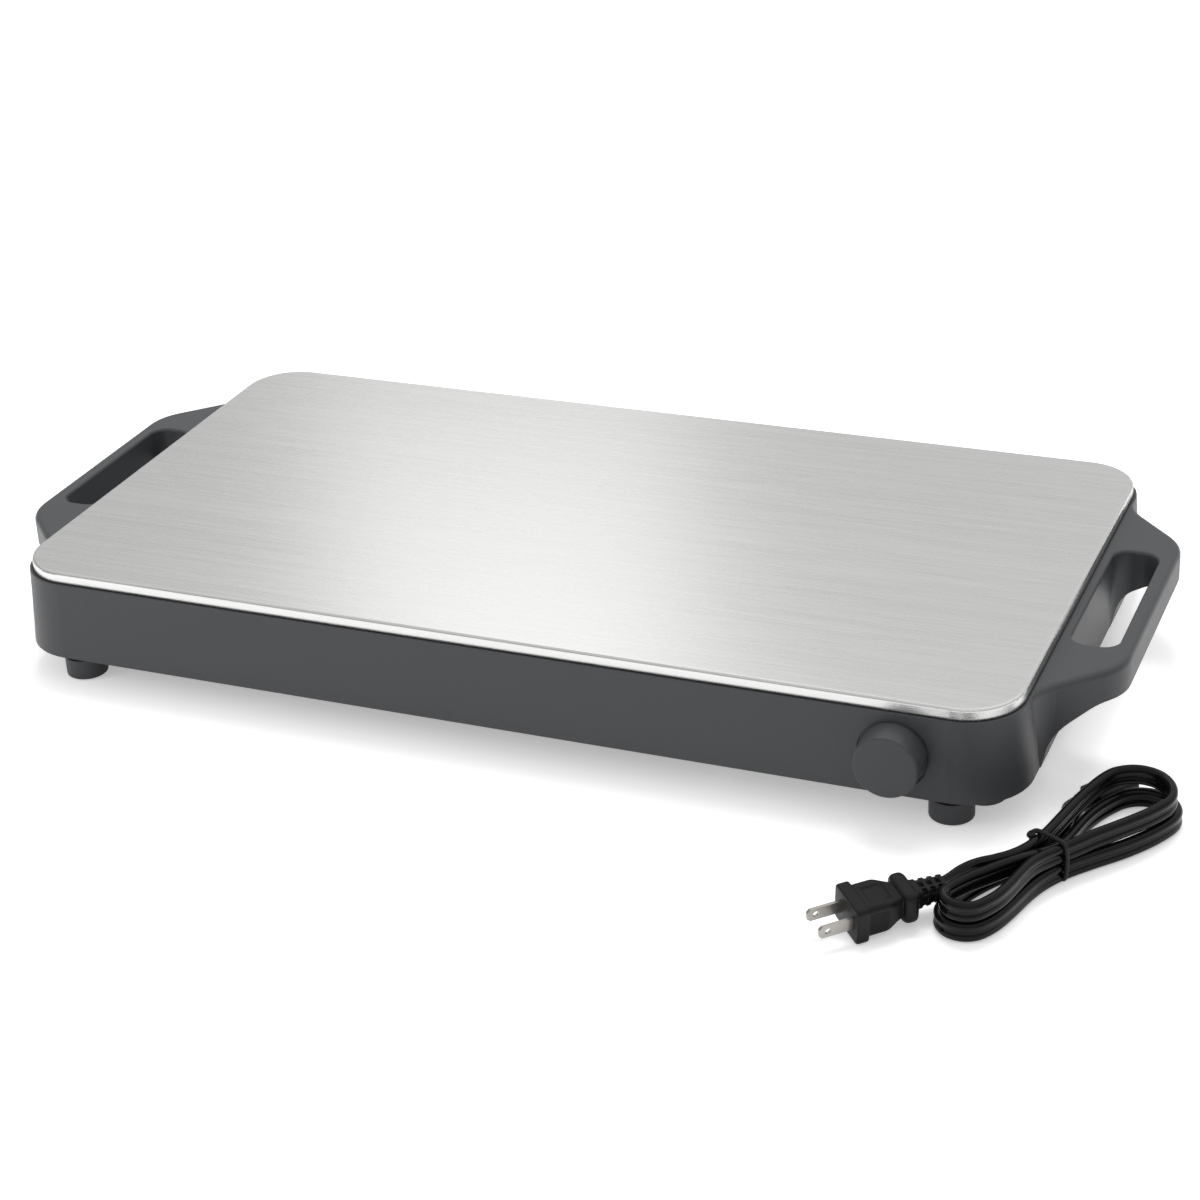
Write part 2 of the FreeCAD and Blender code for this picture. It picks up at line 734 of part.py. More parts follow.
def make_housing():
    body = new_body("housing")
    slab = sketch_on(body, "handle_plan", lift="rim_top")
    draw_path(slab, outline(wing_plan()))
    extrude(body, "Pad", "handle_slab", slab, "rim_top - housing_base", reverse=True)
    for side, word in ((1, "right"), (-1, "left")):
        sweep = sketch_on(body, word + "_underside", role="XZ_Plane")
        draw_path(sweep, outline(under_wing(side)))
        extrude(body, "Pocket", word + "_undercut", sweep, through=True)
    beyond = size.plate_length / 2
    round_edges(body, "handle_top_round", "wing_edge",
                lambda edge: level(edge, size.rim_top) and abs(edge.CenterOfMass.x) > beyond)
    for side, word in (("slot_mid", "right"), ("-slot_mid", "left")):
        hole = sketch_on(body, word + "_slot_outline", across=side)
        draw_rounded_rectangle(hole, "slot_width", "slot_length", "slot_corner")
        extrude(body, "Pocket", word + "_slot", hole, through=True)
    reach = size.slot_length / 2 + 1
    round_edges(body, "slot_lip_round", "slot_lip",
                lambda edge: level(edge, size.rim_top) and abs(edge.CenterOfMass.x) > beyond
                and abs(edge.CenterOfMass.x) < beyond + size.slot_far + 0.1
                and abs(edge.CenterOfMass.y) < reach)
    top = sketch_on(body, "rim_outline", lift="rim_top")
    draw_outline(top, "rim")
    bottom = sketch_on(body, "base_outline", lift="housing_base")
    draw_outline(bottom, "foot_line")
    loft(body, "AdditiveLoft", "wall_block", [top, bottom])
    recess = sketch_on(body, "plate_recess_outline", lift="rim_top")
    draw_outline(recess, "recess")
    extrude(body, "Pocket", "plate_recess", recess, "rim_top - ledge_top")
    hole = sketch_on(body, "ledge_hole_outline", lift="rim_top")
    draw_outline(hole, "ledge")
    extrude(body, "Pocket", "ledge_hole", hole, through=True)
    high = sketch_on(body, "inside_top_outline", lift="ledge_base")
    draw_outline(high, "inside")
    low = sketch_on(body, "inside_base_outline", lift="housing_base")
    draw_outline(low, "opening")
    loft(body, "SubtractiveLoft", "inside", [high, low])
    bosses = sketch_on(body, "boss_plan", lift="pan_floor")
    draw_circles(bosses, "boss_across", SCREW_PLACES)
    extrude(body, "Pad", "screw_bosses", bosses, "ledge_base + ledge_gauge / 2 - pan_floor")
    holes = sketch_on(body, "boss_hole_plan", lift="pan_floor")
    draw_circles(holes, "boss_hole", SCREW_PLACES)
    extrude(body, "Pocket", "boss_holes", holes, "screw_reach + screw_play", reverse=True)
    seat = sketch_on(body, "knob_boss_outline", role="XZ_Plane", lift="seat_face")
    draw_circles(seat, "seat_boss", [("knob_x", "knob_height")])
    extrude(body, "Pad", "knob_boss", seat, "wall_gauge", reverse=True)
    spot = sketch_on(body, "knob_seat_outline", role="XZ_Plane", lift="seat_face")
    draw_circles(spot, "seat_across", [("knob_x", "knob_height")])
    extrude(body, "Pocket", "knob_seat", spot, "wall_flare", reverse=True)
    neck = sketch_on(body, "bush_hole_outline", role="XZ_Plane", lift="seat_face")
    draw_circles(neck, "bush_hole", [("knob_x", "knob_height")])
    extrude(body, "Pocket", "bush_hole_cut", neck, "2 * wall_gauge")
    return body


# Inlet opening in the back wall, cut into the housing.

def inlet_sketch(body, name, lift="-seat_face"):
    """A sketch that faces the back, about the inlet's middle."""
    return sketch_on(body, name, role="XZ_Plane", lift=lift, across="inlet_x", along="inlet_height")


def cut_inlet_opening(body):
    seat = inlet_sketch(body, "inlet_boss_outline")
    draw_outline(seat, "inlet_boss")
    extrude(body, "Pad", "inlet_boss_block", seat, "wall_gauge")
    spot = inlet_sketch(body, "inlet_seat_outline")
    draw_outline(spot, "inlet_seat")
    extrude(body, "Pocket", "inlet_seat_cut", spot, "wall_flare")
    neck = inlet_sketch(body, "inlet_hole_outline")
    draw_outline(neck, "inlet_hole")
    extrude(body, "Pocket", "inlet_hole_cut", neck, "2 * wall_gauge", reverse=True)
    screws = inlet_sketch(body, "inlet_screw_plan")
    draw_circles(screws, "inlet_screw_hole", INLET_SCREWS)
    extrude(body, "Pocket", "inlet_screw_holes", screws, "2 * wall_gauge", reverse=True)


# Base pan: a shallow steel dish whose flange lies inside the foot of the housing.

def make_base_pan():
    body = new_body("base_pan")
    rim = sketch_on(body, "flange_outline", lift="pan_flange_base")
    draw_outline(rim, "pan_flange")
    extrude(body, "Pad", "pan_flange", rim, "pan_gauge")
    dish = sketch_on(body, "dish_outline", lift="pan_base")
    draw_outline(dish, "dish")
    extrude(body, "Pad", "pan_dish", dish, "pan_depth")
    round_edges(body, "pan_base_round", "pan_edge", lambda edge: level(edge, size.pan_base))
    hollow = sketch_on(body, "hollow_outline", lift="pan_floor")
    draw_outline(hollow, "hollow")
    extrude(body, "Pocket", "pan_hollow", hollow, "pan_depth", reverse=True)
    holes = sketch_on(body, "pan_hole_plan", lift="pan_floor")
    draw_circles(holes, "pan_hole", SCREW_PLACES)
    extrude(body, "Pocket", "pan_holes", holes, through=True)


# Feet: moulded studs with a rubber pad let into the underside, each held by one screw.

def make_feet():
    for name, (x, y) in FOOT_PLACES.items():
        body = new_body("foot_" + name)
        ring = sketch_on(body, "foot_outline", lift="foot_pad_proud")
        draw_circles(ring, "foot_across", [(x, y)])
        extrude(body, "Pad", "foot_block", ring, "pan_base - foot_pad_proud")
        round_edges(body, "foot_edge_round", "foot_edge", lambda edge: level(edge, size.foot_pad_proud))
        recess = sketch_on(body, "pad_recess_outline", lift="foot_pad_proud")
        draw_circles(recess, "foot_recess", [(x, y)])
        extrude(body, "Pocket", "pad_recess", recess, "foot_pad_gauge - foot_pad_proud", reverse=True)
        bore = sketch_on(body, "head_bore_outline", lift="foot_pad_proud")
        draw_circles(bore, "foot_bore", [(x, y)])
        extrude(body, "Pocket", "head_bore", bore, "pan_base - foot_floor - foot_pad_proud", reverse=True)
        hole = sketch_on(body, "screw_hole_outline")
        draw_circles(hole, "pan_hole", [(x, y)])
        extrude(body, "Pocket", "screw_hole", hole, through=True)
        keep(rod("pad_" + name, "foot_pad_across", "foot_pad_gauge", x, y, "0"), "foot_pad_" + name)


def screw(name, x, y, seat):
    """A pan-head screw driven upward, its head under the height it clamps."""
    head = rod(name + "_head", "screw_head", "screw_head_gauge", x, y, seat + " - screw_head_gauge")
    shank = rod(name + "_shank", "screw_across", "screw_reach", x, y, seat)
    return fuse(name, head, shank)


def make_screws():
    feet = [screw("foot_screw_%d" % n, x, y, "pan_base - foot_floor")
            for n, (x, y) in enumerate(FOOT_PLACES.values())]
    keep(group("foot_screw_set", feet), "foot_screws")
    pans = [screw("pan_screw_%d" % n, x, y, "pan_base") for n, (x, y) in enumerate(PAN_PLACES)]
    keep(group("pan_screw_set", pans), "pan_screws")


# The plate hangs on welded studs, and clamps on them draw it down onto the housing's ledge.

def make_plate_fixings():
    tail = "plate_under - flange_base + nut_gauge + stud_tail"
    studs = [rod("stud_%d" % n, "stud_across", tail, x, y, "flange_base - nut_gauge - stud_tail")
             for n, (x, y) in enumerate(STUD_PLACES)]
    keep(group("stud_set", studs), "plate_studs")
    clamps = []
    nuts = []
    for number, (x, y) in enumerate(STUD_PLACES):
        middle = y.replace("stud_y", "(clamp_tip + stud_y - clamp_heel) / 2")
        strip = box("clamp_strip_%d" % number, "clamp_width", "clamp_tip - stud_y + clamp_heel",
                    "clamp_gauge", x, middle, "clamp_base")
        hole = rod("clamp_hole_%d" % number, "stud_hole", "clamp_gauge", x, y, "clamp_base")
        clamps.append(cut("clamp_%d" % number, strip, hole))
        hexagon = prism("nut_block_%d" % number, "nut_flats", "nut_gauge", x, y, "flange_base - nut_gauge")
        bore = rod("nut_bore_%d" % number, "nut_bore", "nut_gauge", x, y, "flange_base - nut_gauge")
        nuts.append(cut("nut_%d" % number, hexagon, bore))
    keep(group("clamp_set", clamps), "plate_clamps")
    keep(group("nut_set", nuts), "stud_nuts")


# Heater: a bent tubular rod strapped under an aluminium spreader, over a wool-filled reflector.

def make_spreader():
    body = new_body("heat_spreader")
    plan = sketch_on(body, "spreader_outline", lift="spreader_base")
    draw_outline(plan, "spreader")
    extrude(body, "Pad", "spreader_sheet", plan, "spreader_gauge")


def rod_lines():
    """The straight runs of the rod from front to back, as y values."""
    runs = int(size.rod_runs)
    return [size.rod_pitch * (run - (runs - 1) / 2) for run in range(runs)]


def make_heating_rod():
    half = size.rod_half_run
    turn = size.rod_pitch / 2
    high = size.rod_height
    lines = rod_lines()
    edges = []
    side = 1
    for run, y in enumerate(lines):
        start = side * (half + (size.rod_tail if run == 0 else 0))
        last = run == len(lines) - 1
        stop = -side * (half + (size.rod_tail if last else 0))
        edges.append(Part.makeLine(Vector(start, y, high), Vector(stop, y, high)))
        side = -side
        if not last:
            across = Vector(stop, y, high)
            round_end = Vector(stop + side * turn, y + turn, high)
            edges.append(Part.Arc(across, round_end, Vector(stop, y + 2 * turn, high)).toShape())
    path = Part.Wire(edges)
    section = Part.Wire(Part.makeCircle(size.rod_across / 2, Vector(half + size.rod_tail, lines[0], high),
                                        Vector(-1, 0, 0)))
    keep(made("heating_rod", path.makePipeShell([section], True, True)), "heating_rod")
    seals = []
    pins = []
    for number, y in enumerate((lines[0], lines[-1])):
        seals.append(rod("seal_%d" % number, "rod_across", "rod_seal_length",
                         "rod_half_run + rod_tail", "%.9g" % y, "rod_height", "right"))
        pins.append(rod("rod_pin_%d" % number, "rod_pin_across", "rod_pin_length",
                        "rod_half_run + rod_tail + rod_seal_length", "%.9g" % y, "rod_height", "right"))
    keep(group("seal_set", seals), "rod_seals")
    keep(group("rod_pin_set", pins), "rod_terminals")


def strap(name, across, x, y):
    """A hat-shaped strap under the spreader that holds a bar of a given diameter along x."""
    ears = box(name + "_ears", "strap_width", "%s + 2 * (strap_gauge + strap_ear)" % across, "strap_gauge",
               x, y, "spreader_base - strap_gauge")
    hoop = box(name + "_hoop", "strap_width", "%s + 2 * (rod_seat + strap_gauge)" % across,
               "%s + strap_gauge + rod_seat" % across, x, y,
               "spreader_base - %s - strap_gauge - rod_seat" % across)
    hollow = box(name + "_hollow", "2 * strap_width", "%s + 2 * rod_seat" % across, "%s + rod_seat" % across,
                 x, y, "spreader_base - %s - rod_seat" % across)
    return cut(name, fuse(name + "_hat", ears, hoop), hollow)


def make_straps():
    straps = []
    for column in (-1, 0, 1):
        for row, y in enumerate(rod_lines()):
            straps.append(strap("strap_%d_%d" % (column + 1, row), "rod_across",
                                "%d * strap_step" % column, "%.9g" % y))
    keep(group("strap_set", straps), "rod_straps")
    keep(rod("fuse_body", "fuse_across", "fuse_length", "fuse_x - fuse_length / 2", "fuse_y",
             "spreader_base - rod_seat - fuse_across / 2", "right"), "thermal_fuse")
    keep(strap("fuse_hat", "fuse_across", "fuse_x", "fuse_y"), "fuse_strap")


def make_reflector():
    body = new_body("reflector_tray")
    rim = sketch_on(body, "reflector_flange_outline", lift="flange_base")
    draw_outline(rim, "reflector_flange")
    extrude(body, "Pad", "reflector_flange_sheet", rim, "reflector_gauge")
    dish = sketch_on(body, "reflector_dish_outline", lift="reflector_base")
    draw_rounded_rectangle(dish, "reflector_length", "reflector_width", "spreader_corner")
    extrude(body, "Pad", "reflector_dish", dish, "clamp_base - reflector_base")
    hollow = sketch_on(body, "reflector_hollow_outline", lift="wool_base")
    draw_outline(hollow, "reflector_hollow")
    extrude(body, "Pocket", "reflector_pocket", hollow, "reflector_depth", reverse=True)
    holes = sketch_on(body, "reflector_hole_plan", lift="flange_base")
    draw_circles(holes, "stud_hole", STUD_PLACES)
    extrude(body, "Pocket", "reflector_holes", holes, "2 * reflector_gauge", reverse=True)
    wool = new_body("insulation_wool")
    mat = sketch_on(wool, "wool_outline", lift="wool_base")
    draw_outline(mat, "wool")
    extrude(wool, "Pad", "wool_mat", mat, "wool_gauge")


# Thermostat: its bush passes through the front wall, and the knob's spindle turns inside it.

def make_thermostat():
    block = box("stat_block", "stat_width", "stat_depth", "stat_height", "knob_x",
                "stat_depth / 2 - seat_back", "stat_low")
    bush = rod("stat_bush", "bush_across", "bush_length", "knob_x", "-seat_back", "knob_height", "front")
    bore = rod("stat_bore", "spindle_bore", "bush_length + spindle_in", "knob_x", "spindle_foot",
               "knob_height", "front")
    guide = rod("stat_guide", "pin_bore", "stat_depth", "knob_x", "stat_back", "knob_height", "front")
    keep(cut("stat_whole", fuse("stat_and_bush", block, bush), bore, guide), "thermostat_body")
    hexagon = prism("stat_nut_block", "bush_nut_flats", "bush_nut_gauge", "knob_x", "-seat_face",
                    "knob_height", "front")
    thread = rod("stat_nut_bore", "bush_nut_bore", "bush_nut_gauge", "knob_x", "-seat_face",
                 "knob_height", "front")
    keep(cut("stat_nut", hexagon, thread), "thermostat_nut")
    bar = rod("spindle_bar", "spindle_across", "spindle_length", "knob_x", "spindle_foot",
              "knob_height", "front")
    flat = box("spindle_flat_cut", "spindle_across", "spindle_length - spindle_round", "spindle_flat",
               "knob_x", "spindle_foot - (spindle_round + spindle_length) / 2",
               "knob_height + spindle_across / 2 - spindle_flat")
    keep(cut("spindle", bar, flat), "thermostat_spindle")
    keep(rod("stat_pin", "pin_across", "pin_length", "knob_x", "stat_back + pin_proud",
             "knob_height", "front"), "thermostat_pin")
    leaf = box("leaf", "stat_width - 2 * stat_margin", "leaf_gauge", "leaf_width", "knob_x",
               "stat_back + leaf_lift + leaf_gauge / 2", "knob_height - leaf_width / 2")
    post = box("leaf_post", "leaf_width", "leaf_lift", "leaf_width",
               "knob_x - stat_width / 2 + stat_margin + leaf_width / 2",
               "stat_back + leaf_lift / 2", "knob_height - leaf_width / 2")
    keep(fuse("leaf_and_post", leaf, post), "contact_leaf")
    tabs = [box("tab_%d" % n, "tab_gauge", "tab_length", "tab_width", "knob_x %s tab_spread / 2" % sign,
                "stat_back + tab_length / 2", "stat_low + stat_margin")
            for n, sign in enumerate("-+")]
    keep(group("tab_set", tabs), "thermostat_tabs")


def draw_d_hole(sketch, across, flat):
    """A round hole with a flat across its top, centred on the sketch's origin."""
    radius = across / 2
    height = radius - flat
    half = math.sqrt(radius * radius - height * height)
    draw_path(sketch, [
        Part.Arc(Vector(-half, height), Vector(0, -radius), Vector(half, height)),
        Part.LineSegment(Vector(half, height), Vector(-half, height)),
    ])


def make_knob():
    body = new_body("control_knob")
    # Points are (y, distance from the knob's axis).
    profile = sketch_on(body, "knob_profile", role="YZ_Plane", lift="knob_x", along="knob_height")
    base = -size.knob_back
    front = -size.knob_front
    wide = size.knob_base_across / 2
    inner = wide - size.knob_shell
    hub = size.spindle_across / 2 + size.knob_shell
    hollow = base - size.knob_hollow
    corners = [
        (base, inner, 0), (base, wide, 0), (front, size.knob_across / 2, size.knob_edge), (front, 0, 0),
        (base - size.hub_set, 0, 0), (base - size.hub_set, hub, 0), (hollow, hub, 0),
        (hollow, inner - size.knob_draft, 0),
    ]
    draw_path(profile, outline(corners))
    turned = body.newObject("PartDesign::Revolution", "knob_turned")
    turned.Profile = profile
    turned.ReferenceAxis = (profile, ["H_Axis"])
    turned.Angle = 360
    doc.recompute()
    socket = sketch_on(body, "socket_outline", role="XZ_Plane", lift="knob_back",
                       across="knob_x", along="knob_height")
    draw_d_hole(socket, size.spindle_across + 2 * size.socket_fit, size.spindle_flat)
    extrude(body, "Pocket", "socket", socket, "knob_socket", reverse=True)


# Appliance inlet for the detachable lead.

def make_inlet():
    body = new_body("power_inlet")
    flange = inlet_sketch(body, "flange_face")
    draw_rounded_rectangle(flange, "inlet_flange_length", "inlet_flange_height", "inlet_corner")
    extrude(body, "Pad", "flange_block", flange, "inlet_flange_gauge", reverse=True)
    block = inlet_sketch(body, "block_face")
    draw_rounded_rectangle(block, "inlet_body_length", "inlet_body_height", "inlet_corner")
    extrude(body, "Pad", "block", block, "inlet_body_depth")
    mouth = inlet_sketch(body, "mouth_face", "-inlet_mouth_base")
    draw_rounded_rectangle(mouth, "inlet_mouth_length", "inlet_mouth_height", "inlet_mouth_corner")
    extrude(body, "Pocket", "mouth", mouth, "inlet_mouth_depth")
    holes = inlet_sketch(body, "pin_plan", "-inlet_mouth_base")
    draw_circles(holes, "inlet_pin_across", INLET_PINS)
    extrude(body, "Pocket", "pin_holes", holes, "inlet_body_depth", reverse=True)
    screws = inlet_sketch(body, "flange_screw_plan")
    draw_circles(screws, "inlet_clear_hole", INLET_SCREWS)
    extrude(body, "Pocket", "flange_screw_holes", screws, "inlet_flange_gauge")
    pins = [rod("inlet_pin_%d" % n, "inlet_pin_across", "inlet_mouth_base + inlet_pin_reach - inlet_pin_end",
                "inlet_x + " + x, "inlet_mouth_base + inlet_pin_reach", "inlet_height", "front")
            for n, (x, _) in enumerate(INLET_PINS)]
    keep(group("inlet_pin_set", pins), "inlet_pins")
    fixings = []
    for number, (x, _) in enumerate(INLET_SCREWS):
        head = rod("inlet_head_%d" % number, "inlet_screw_head", "inlet_head_gauge", "inlet_x + " + x,
                   "inlet_face + inlet_head_gauge", "inlet_height", "front")
        shank = rod("inlet_shank_%d" % number, "inlet_shank", "inlet_flange_gauge + 2 * wall_gauge",
                    "inlet_x + " + x, "inlet_face", "inlet_height", "front")
        fixings.append(fuse("inlet_screw_%d" % number, head, shank))
    keep(group("inlet_screw_set", fixings), "inlet_screws")


# Wiring inside the base.

def bent_path(points, radius):
    """Straight runs joined by tangent arcs of one radius."""
    edges = []
    start = points[0]
    for before, here, after in zip(points, points[1:], points[2:]):
        back = (before - here).normalize()
        on = (after - here).normalize()
        half_turn = back.getAngle(on) / 2
        reach = radius / math.tan(half_turn)
        middle = here + (back + on).normalize() * (radius / math.sin(half_turn) - radius)
        edges.append(Part.makeLine(start, here + back * reach))
        edges.append(Part.Arc(here + back * reach, middle, here + on * reach).toShape())
        start = here + on * reach
    edges.append(Part.makeLine(start, points[-1]))
    return Part.Wire(edges)


def make_wire(name, *points):
    path = bent_path([Vector(*point) for point in points], size.wire_bend)
    first = path.Edges[0]
    ring = Part.makeCircle(size.wire_across / 2, first.valueAt(first.FirstParameter),
                           first.tangentAt(first.FirstParameter))
    keep(made(name + "_solid", path.makePipeShell([Part.Wire(ring)], True, True)), name)


def make_wiring():
    """Live to the thermostat, on to the rod, back through the fuse and out by the neutral pin."""
    bend = 1.5 * size.wire_bend
    low = size.pan_floor + size.wire_lift
    pin_y = size.inlet_pin_end
    pin_z = size.inlet_height
    near_pin = size.inlet_x - size.inlet_pin_pitch / 2
    far_pin = size.inlet_x + size.inlet_pin_pitch / 2
    tab_y = size.stat_back + size.tab_length
    tab_z = size.stat_low + size.stat_margin + size.tab_width / 2
    near_tab = size.knob_x - size.tab_spread / 2
    far_tab = size.knob_x + size.tab_spread / 2
    rod_front = rod_lines()[0]
    rod_back = rod_lines()[-1]
    rod_z = size.rod_height
    rod_end = size.rod_half_run + size.rod_tail + size.rod_seal_length + size.rod_pin_length
    fuse_z = size.spreader_base - size.rod_seat - size.fuse_across / 2
    fuse_near = size.fuse_x - size.fuse_length / 2
    fuse_far = size.fuse_x + size.fuse_length / 2
    # Half way between the reflector's flange and the ledge.
    drop_x = (size.reflector_flange_length + size.ledge_length) / 4
    lane_y = size.fuse_y - 2.4 * size.wire_bend
    make_wire("live_wire",
              (near_pin, pin_y, pin_z), (near_pin, pin_y - bend, pin_z),
              (size.wire_lane, pin_y - 4 * bend, low), (size.wire_lane, tab_y + 4 * bend, low),
              (near_tab, tab_y + bend, tab_z), (near_tab, tab_y, tab_z))
    make_wire("switched_wire",
              (far_tab, tab_y, tab_z), (far_tab, tab_y + bend, tab_z), (drop_x, rod_front, tab_z),
              (drop_x, rod_front, rod_z), (rod_end, rod_front, rod_z))
    make_wire("fuse_wire",
              (rod_end, rod_back, rod_z), (rod_end + bend, rod_back, rod_z),
              (rod_end + bend, size.fuse_y, fuse_z), (fuse_far, size.fuse_y, fuse_z))
    make_wire("neutral_wire",
              (fuse_near, size.fuse_y, fuse_z), (fuse_near - bend, size.fuse_y, fuse_z),
              (fuse_near - bend, lane_y, fuse_z), (drop_x, lane_y, fuse_z), (drop_x, lane_y, tab_z),
              (far_pin, pin_y - bend, pin_z), (far_pin, pin_y, pin_z))


# Detachable lead, tied up beside the tray, with a two-blade plug and an appliance connector.

def laid(shape, x, y, z, angle, dip=0, roll=0):
    """A shape drawn about its own start, along +X, put down on the surface."""
    shape.rotate(Vector(), Vector(1, 0, 0), roll)
    shape.rotate(Vector(), Vector(0, 1, 0), dip)
    shape.rotate(Vector(), Vector(0, 0, 1), angle)
    shape.translate(Vector(x, y, z))
    return shape


def by_hank(along, out):
    """A place along the hank and out from its line, as x and y."""
    axis = math.radians(size.hank_angle)
    x = size.hank_x + along * math.cos(axis) - out * math.sin(axis)
    y = size.hank_y + along * math.sin(axis) + out * math.cos(axis)
    return x, y


def soft_block(start, length, width, height, edge, end_width=None, end_height=None):
    """A block along +X from start, tapered to its end, with rounded long edges."""
    faces = []
    end = (start + length, end_width or width, end_height or height)
    for x, wide, tall in ((start, width, height), end):
        half = wide / 2 - edge
        rise = tall / 2 - edge
        points = [(half, -rise - edge), (half + edge, -rise), (half + edge, rise), (half, rise + edge),
                  (-half, rise + edge), (-half - edge, rise), (-half - edge, -rise), (-half, -rise - edge)]
        ring = []
        for number, (y, z) in enumerate(points):
            after = points[(number + 1) % len(points)]
            if number % 2:
                ring.append(Part.makeLine(Vector(x, y, z), Vector(x, *after)))
                continue
            centre = Vector(x, math.copysign(half, y), math.copysign(rise, z))
            corner = Vector(x, math.copysign(half + edge, y), math.copysign(rise + edge, z))
            middle = centre + (corner - centre).normalize() * edge
            ring.append(Part.Arc(Vector(x, y, z), middle, Vector(x, *after)).toShape())
        faces.append(Part.Wire(ring))
    return Part.makeLoft(faces, True, True)


def make_plug():
    neck = size.plug_relief_length
    collar_end = neck + size.plug_collar_length
    body_end = collar_end + size.plug_body_length
    front = body_end + size.plug_flange_length
    relief = soft_block(0, neck, size.plug_relief_end_width, size.plug_relief_end_height,
                        size.plug_relief_edge, size.plug_relief_width, size.plug_relief_height)
    collar = soft_block(neck, size.plug_collar_length, size.plug_collar_width, size.plug_collar_height,
                        size.plug_edge)
    grip = soft_block(collar_end, size.plug_body_length, size.plug_neck_width, size.plug_neck_height,
                      size.plug_edge, size.plug_body_width, size.plug_body_height)
    flange = soft_block(body_end, size.plug_flange_length, size.plug_flange_width,
                        size.plug_flange_height, size.plug_edge)
    whole = relief.fuse([collar, grip, flange]).removeSplitter()
    root = front - size.prong_root
    tip = front + size.prong_length
    prongs = []
    for side in (-1, 1):
        corner = Vector(root, (side * size.prong_pitch - size.prong_gauge) / 2, -size.prong_height / 2)
        blade = Part.makeBox(tip - root, size.prong_gauge, size.prong_height, corner)
        whole = whole.cut(blade)
        ends = [edge for edge in blade.Edges
                if abs(edge.CenterOfMass.x - tip) < 1e-6 and abs(edge.CenterOfMass.z) > 1e-6]
        hole = Part.makeCylinder(size.prong_hole / 2, 2 * size.prong_pitch,
                                 Vector(tip - size.prong_hole_in, -size.prong_pitch, 0), Vector(0, 1, 0))
        prongs.append(blade.makeChamfer(size.prong_gauge, ends).cut(hole))
    place = (*by_hank(size.plug_along, size.plug_out), size.plug_axis_height,
             size.hank_angle + size.plug_turn, size.plug_dip, size.plug_roll)
    keep(made("plug_solid", laid(whole, *place)), "plug_body")
    keep(made("prong_solids", laid(Part.makeCompound(prongs), *place)), "plug_prongs")


def drop_shape(reach, across, tip_x, tip_half, height):
    """A round end drawn in by straight sides to a blunt tip, seen from above."""
    radius = across / 2
    centre = reach - radius
    away = math.hypot(centre - tip_x, tip_half)
    lean = math.asin(radius / away) - math.atan2(tip_half, centre - tip_x)
    touch_x = centre - radius * math.sin(lean)
    touch_y = radius * math.cos(lean)
    corners = [Vector(tip_x, -tip_half, 0), Vector(touch_x, -touch_y, 0),
               Vector(touch_x, touch_y, 0), Vector(tip_x, tip_half, 0)]
    taper = Part.Face(Part.makePolygon(corners + corners[:1]))
    disc = Part.Face(Part.Wire(Part.makeCircle(radius, Vector(centre, 0, 0))))
    return disc.fuse(taper).removeSplitter().extrude(Vector(0, 0, height))


def make_hank():
    halves = []
    bundle = size.loop_bundle
    high = size.hank_height
    for turn, reach, across in (
        (0, size.right_loop_reach, size.right_loop_across),
        (180 + size.left_loop_turn, size.left_loop_reach, size.left_loop_across),
    ):
        loop = drop_shape(reach, across, 0, size.hank_waist / 2, high)
        eye = drop_shape(reach - bundle, across - 2 * bundle, 2 * bundle, size.tie_gauge / 2, high)
        half = loop.cut(eye)
        half.rotate(Vector(), Vector(0, 0, 1), turn)
        halves.append(half)
    waist = size.hank_waist
    gauge = size.tie_gauge
    # The tie's ring goes right round the waist and lies in a notch beneath it.
    ring = Part.makeBox(size.tie_width, waist + 2 * gauge, high + gauge,
                        Vector(-size.tie_width / 2, -waist / 2 - gauge, 0))
    inside = Part.makeBox(size.tie_width, waist, high - gauge,
                          Vector(-size.tie_width / 2, -waist / 2, gauge))
    ring = ring.cut(inside)
    hank = halves[0].fuse(halves[1]).removeSplitter().cut(ring)
    place = (size.hank_x, size.hank_y, 0, size.hank_angle)
    keep(made("hank_solid", laid(hank, *place)), "lead_hank")
    keep(made("tie_solid", laid(ring, *place)), "hank_tie")


def make_connector():
    tail = soft_block(0, size.connector_tail_length, size.connector_tail_width,
                      size.connector_tail_height, size.connector_tail_edge)
    block = soft_block(size.connector_tail_length, size.connector_length, size.connector_width,
                       size.connector_height, size.connector_edge)
    start = size.connector_tail_length + size.connector_length
    tip = start + size.connector_nose_length
    nose = soft_block(start, size.connector_nose_length, size.connector_nose_width,
                      size.connector_nose_height, size.connector_nose_edge)
    whole = tail.fuse([block, nose]).removeSplitter()
    for side in (-1, 1):
        hole = Part.makeCylinder(size.contact_hole / 2, size.inlet_pin_reach,
                                 Vector(tip, side * size.inlet_pin_pitch / 2, 0), Vector(-1, 0, 0))
        whole = whole.cut(hole)
    place = (*by_hank(size.connector_along, size.connector_out), size.connector_height / 2,
             size.hank_angle + size.connector_turn)
    keep(made("connector_solid", laid(whole, *place)), "lead_connector")


# Build everything, test it and write one file for each piece.

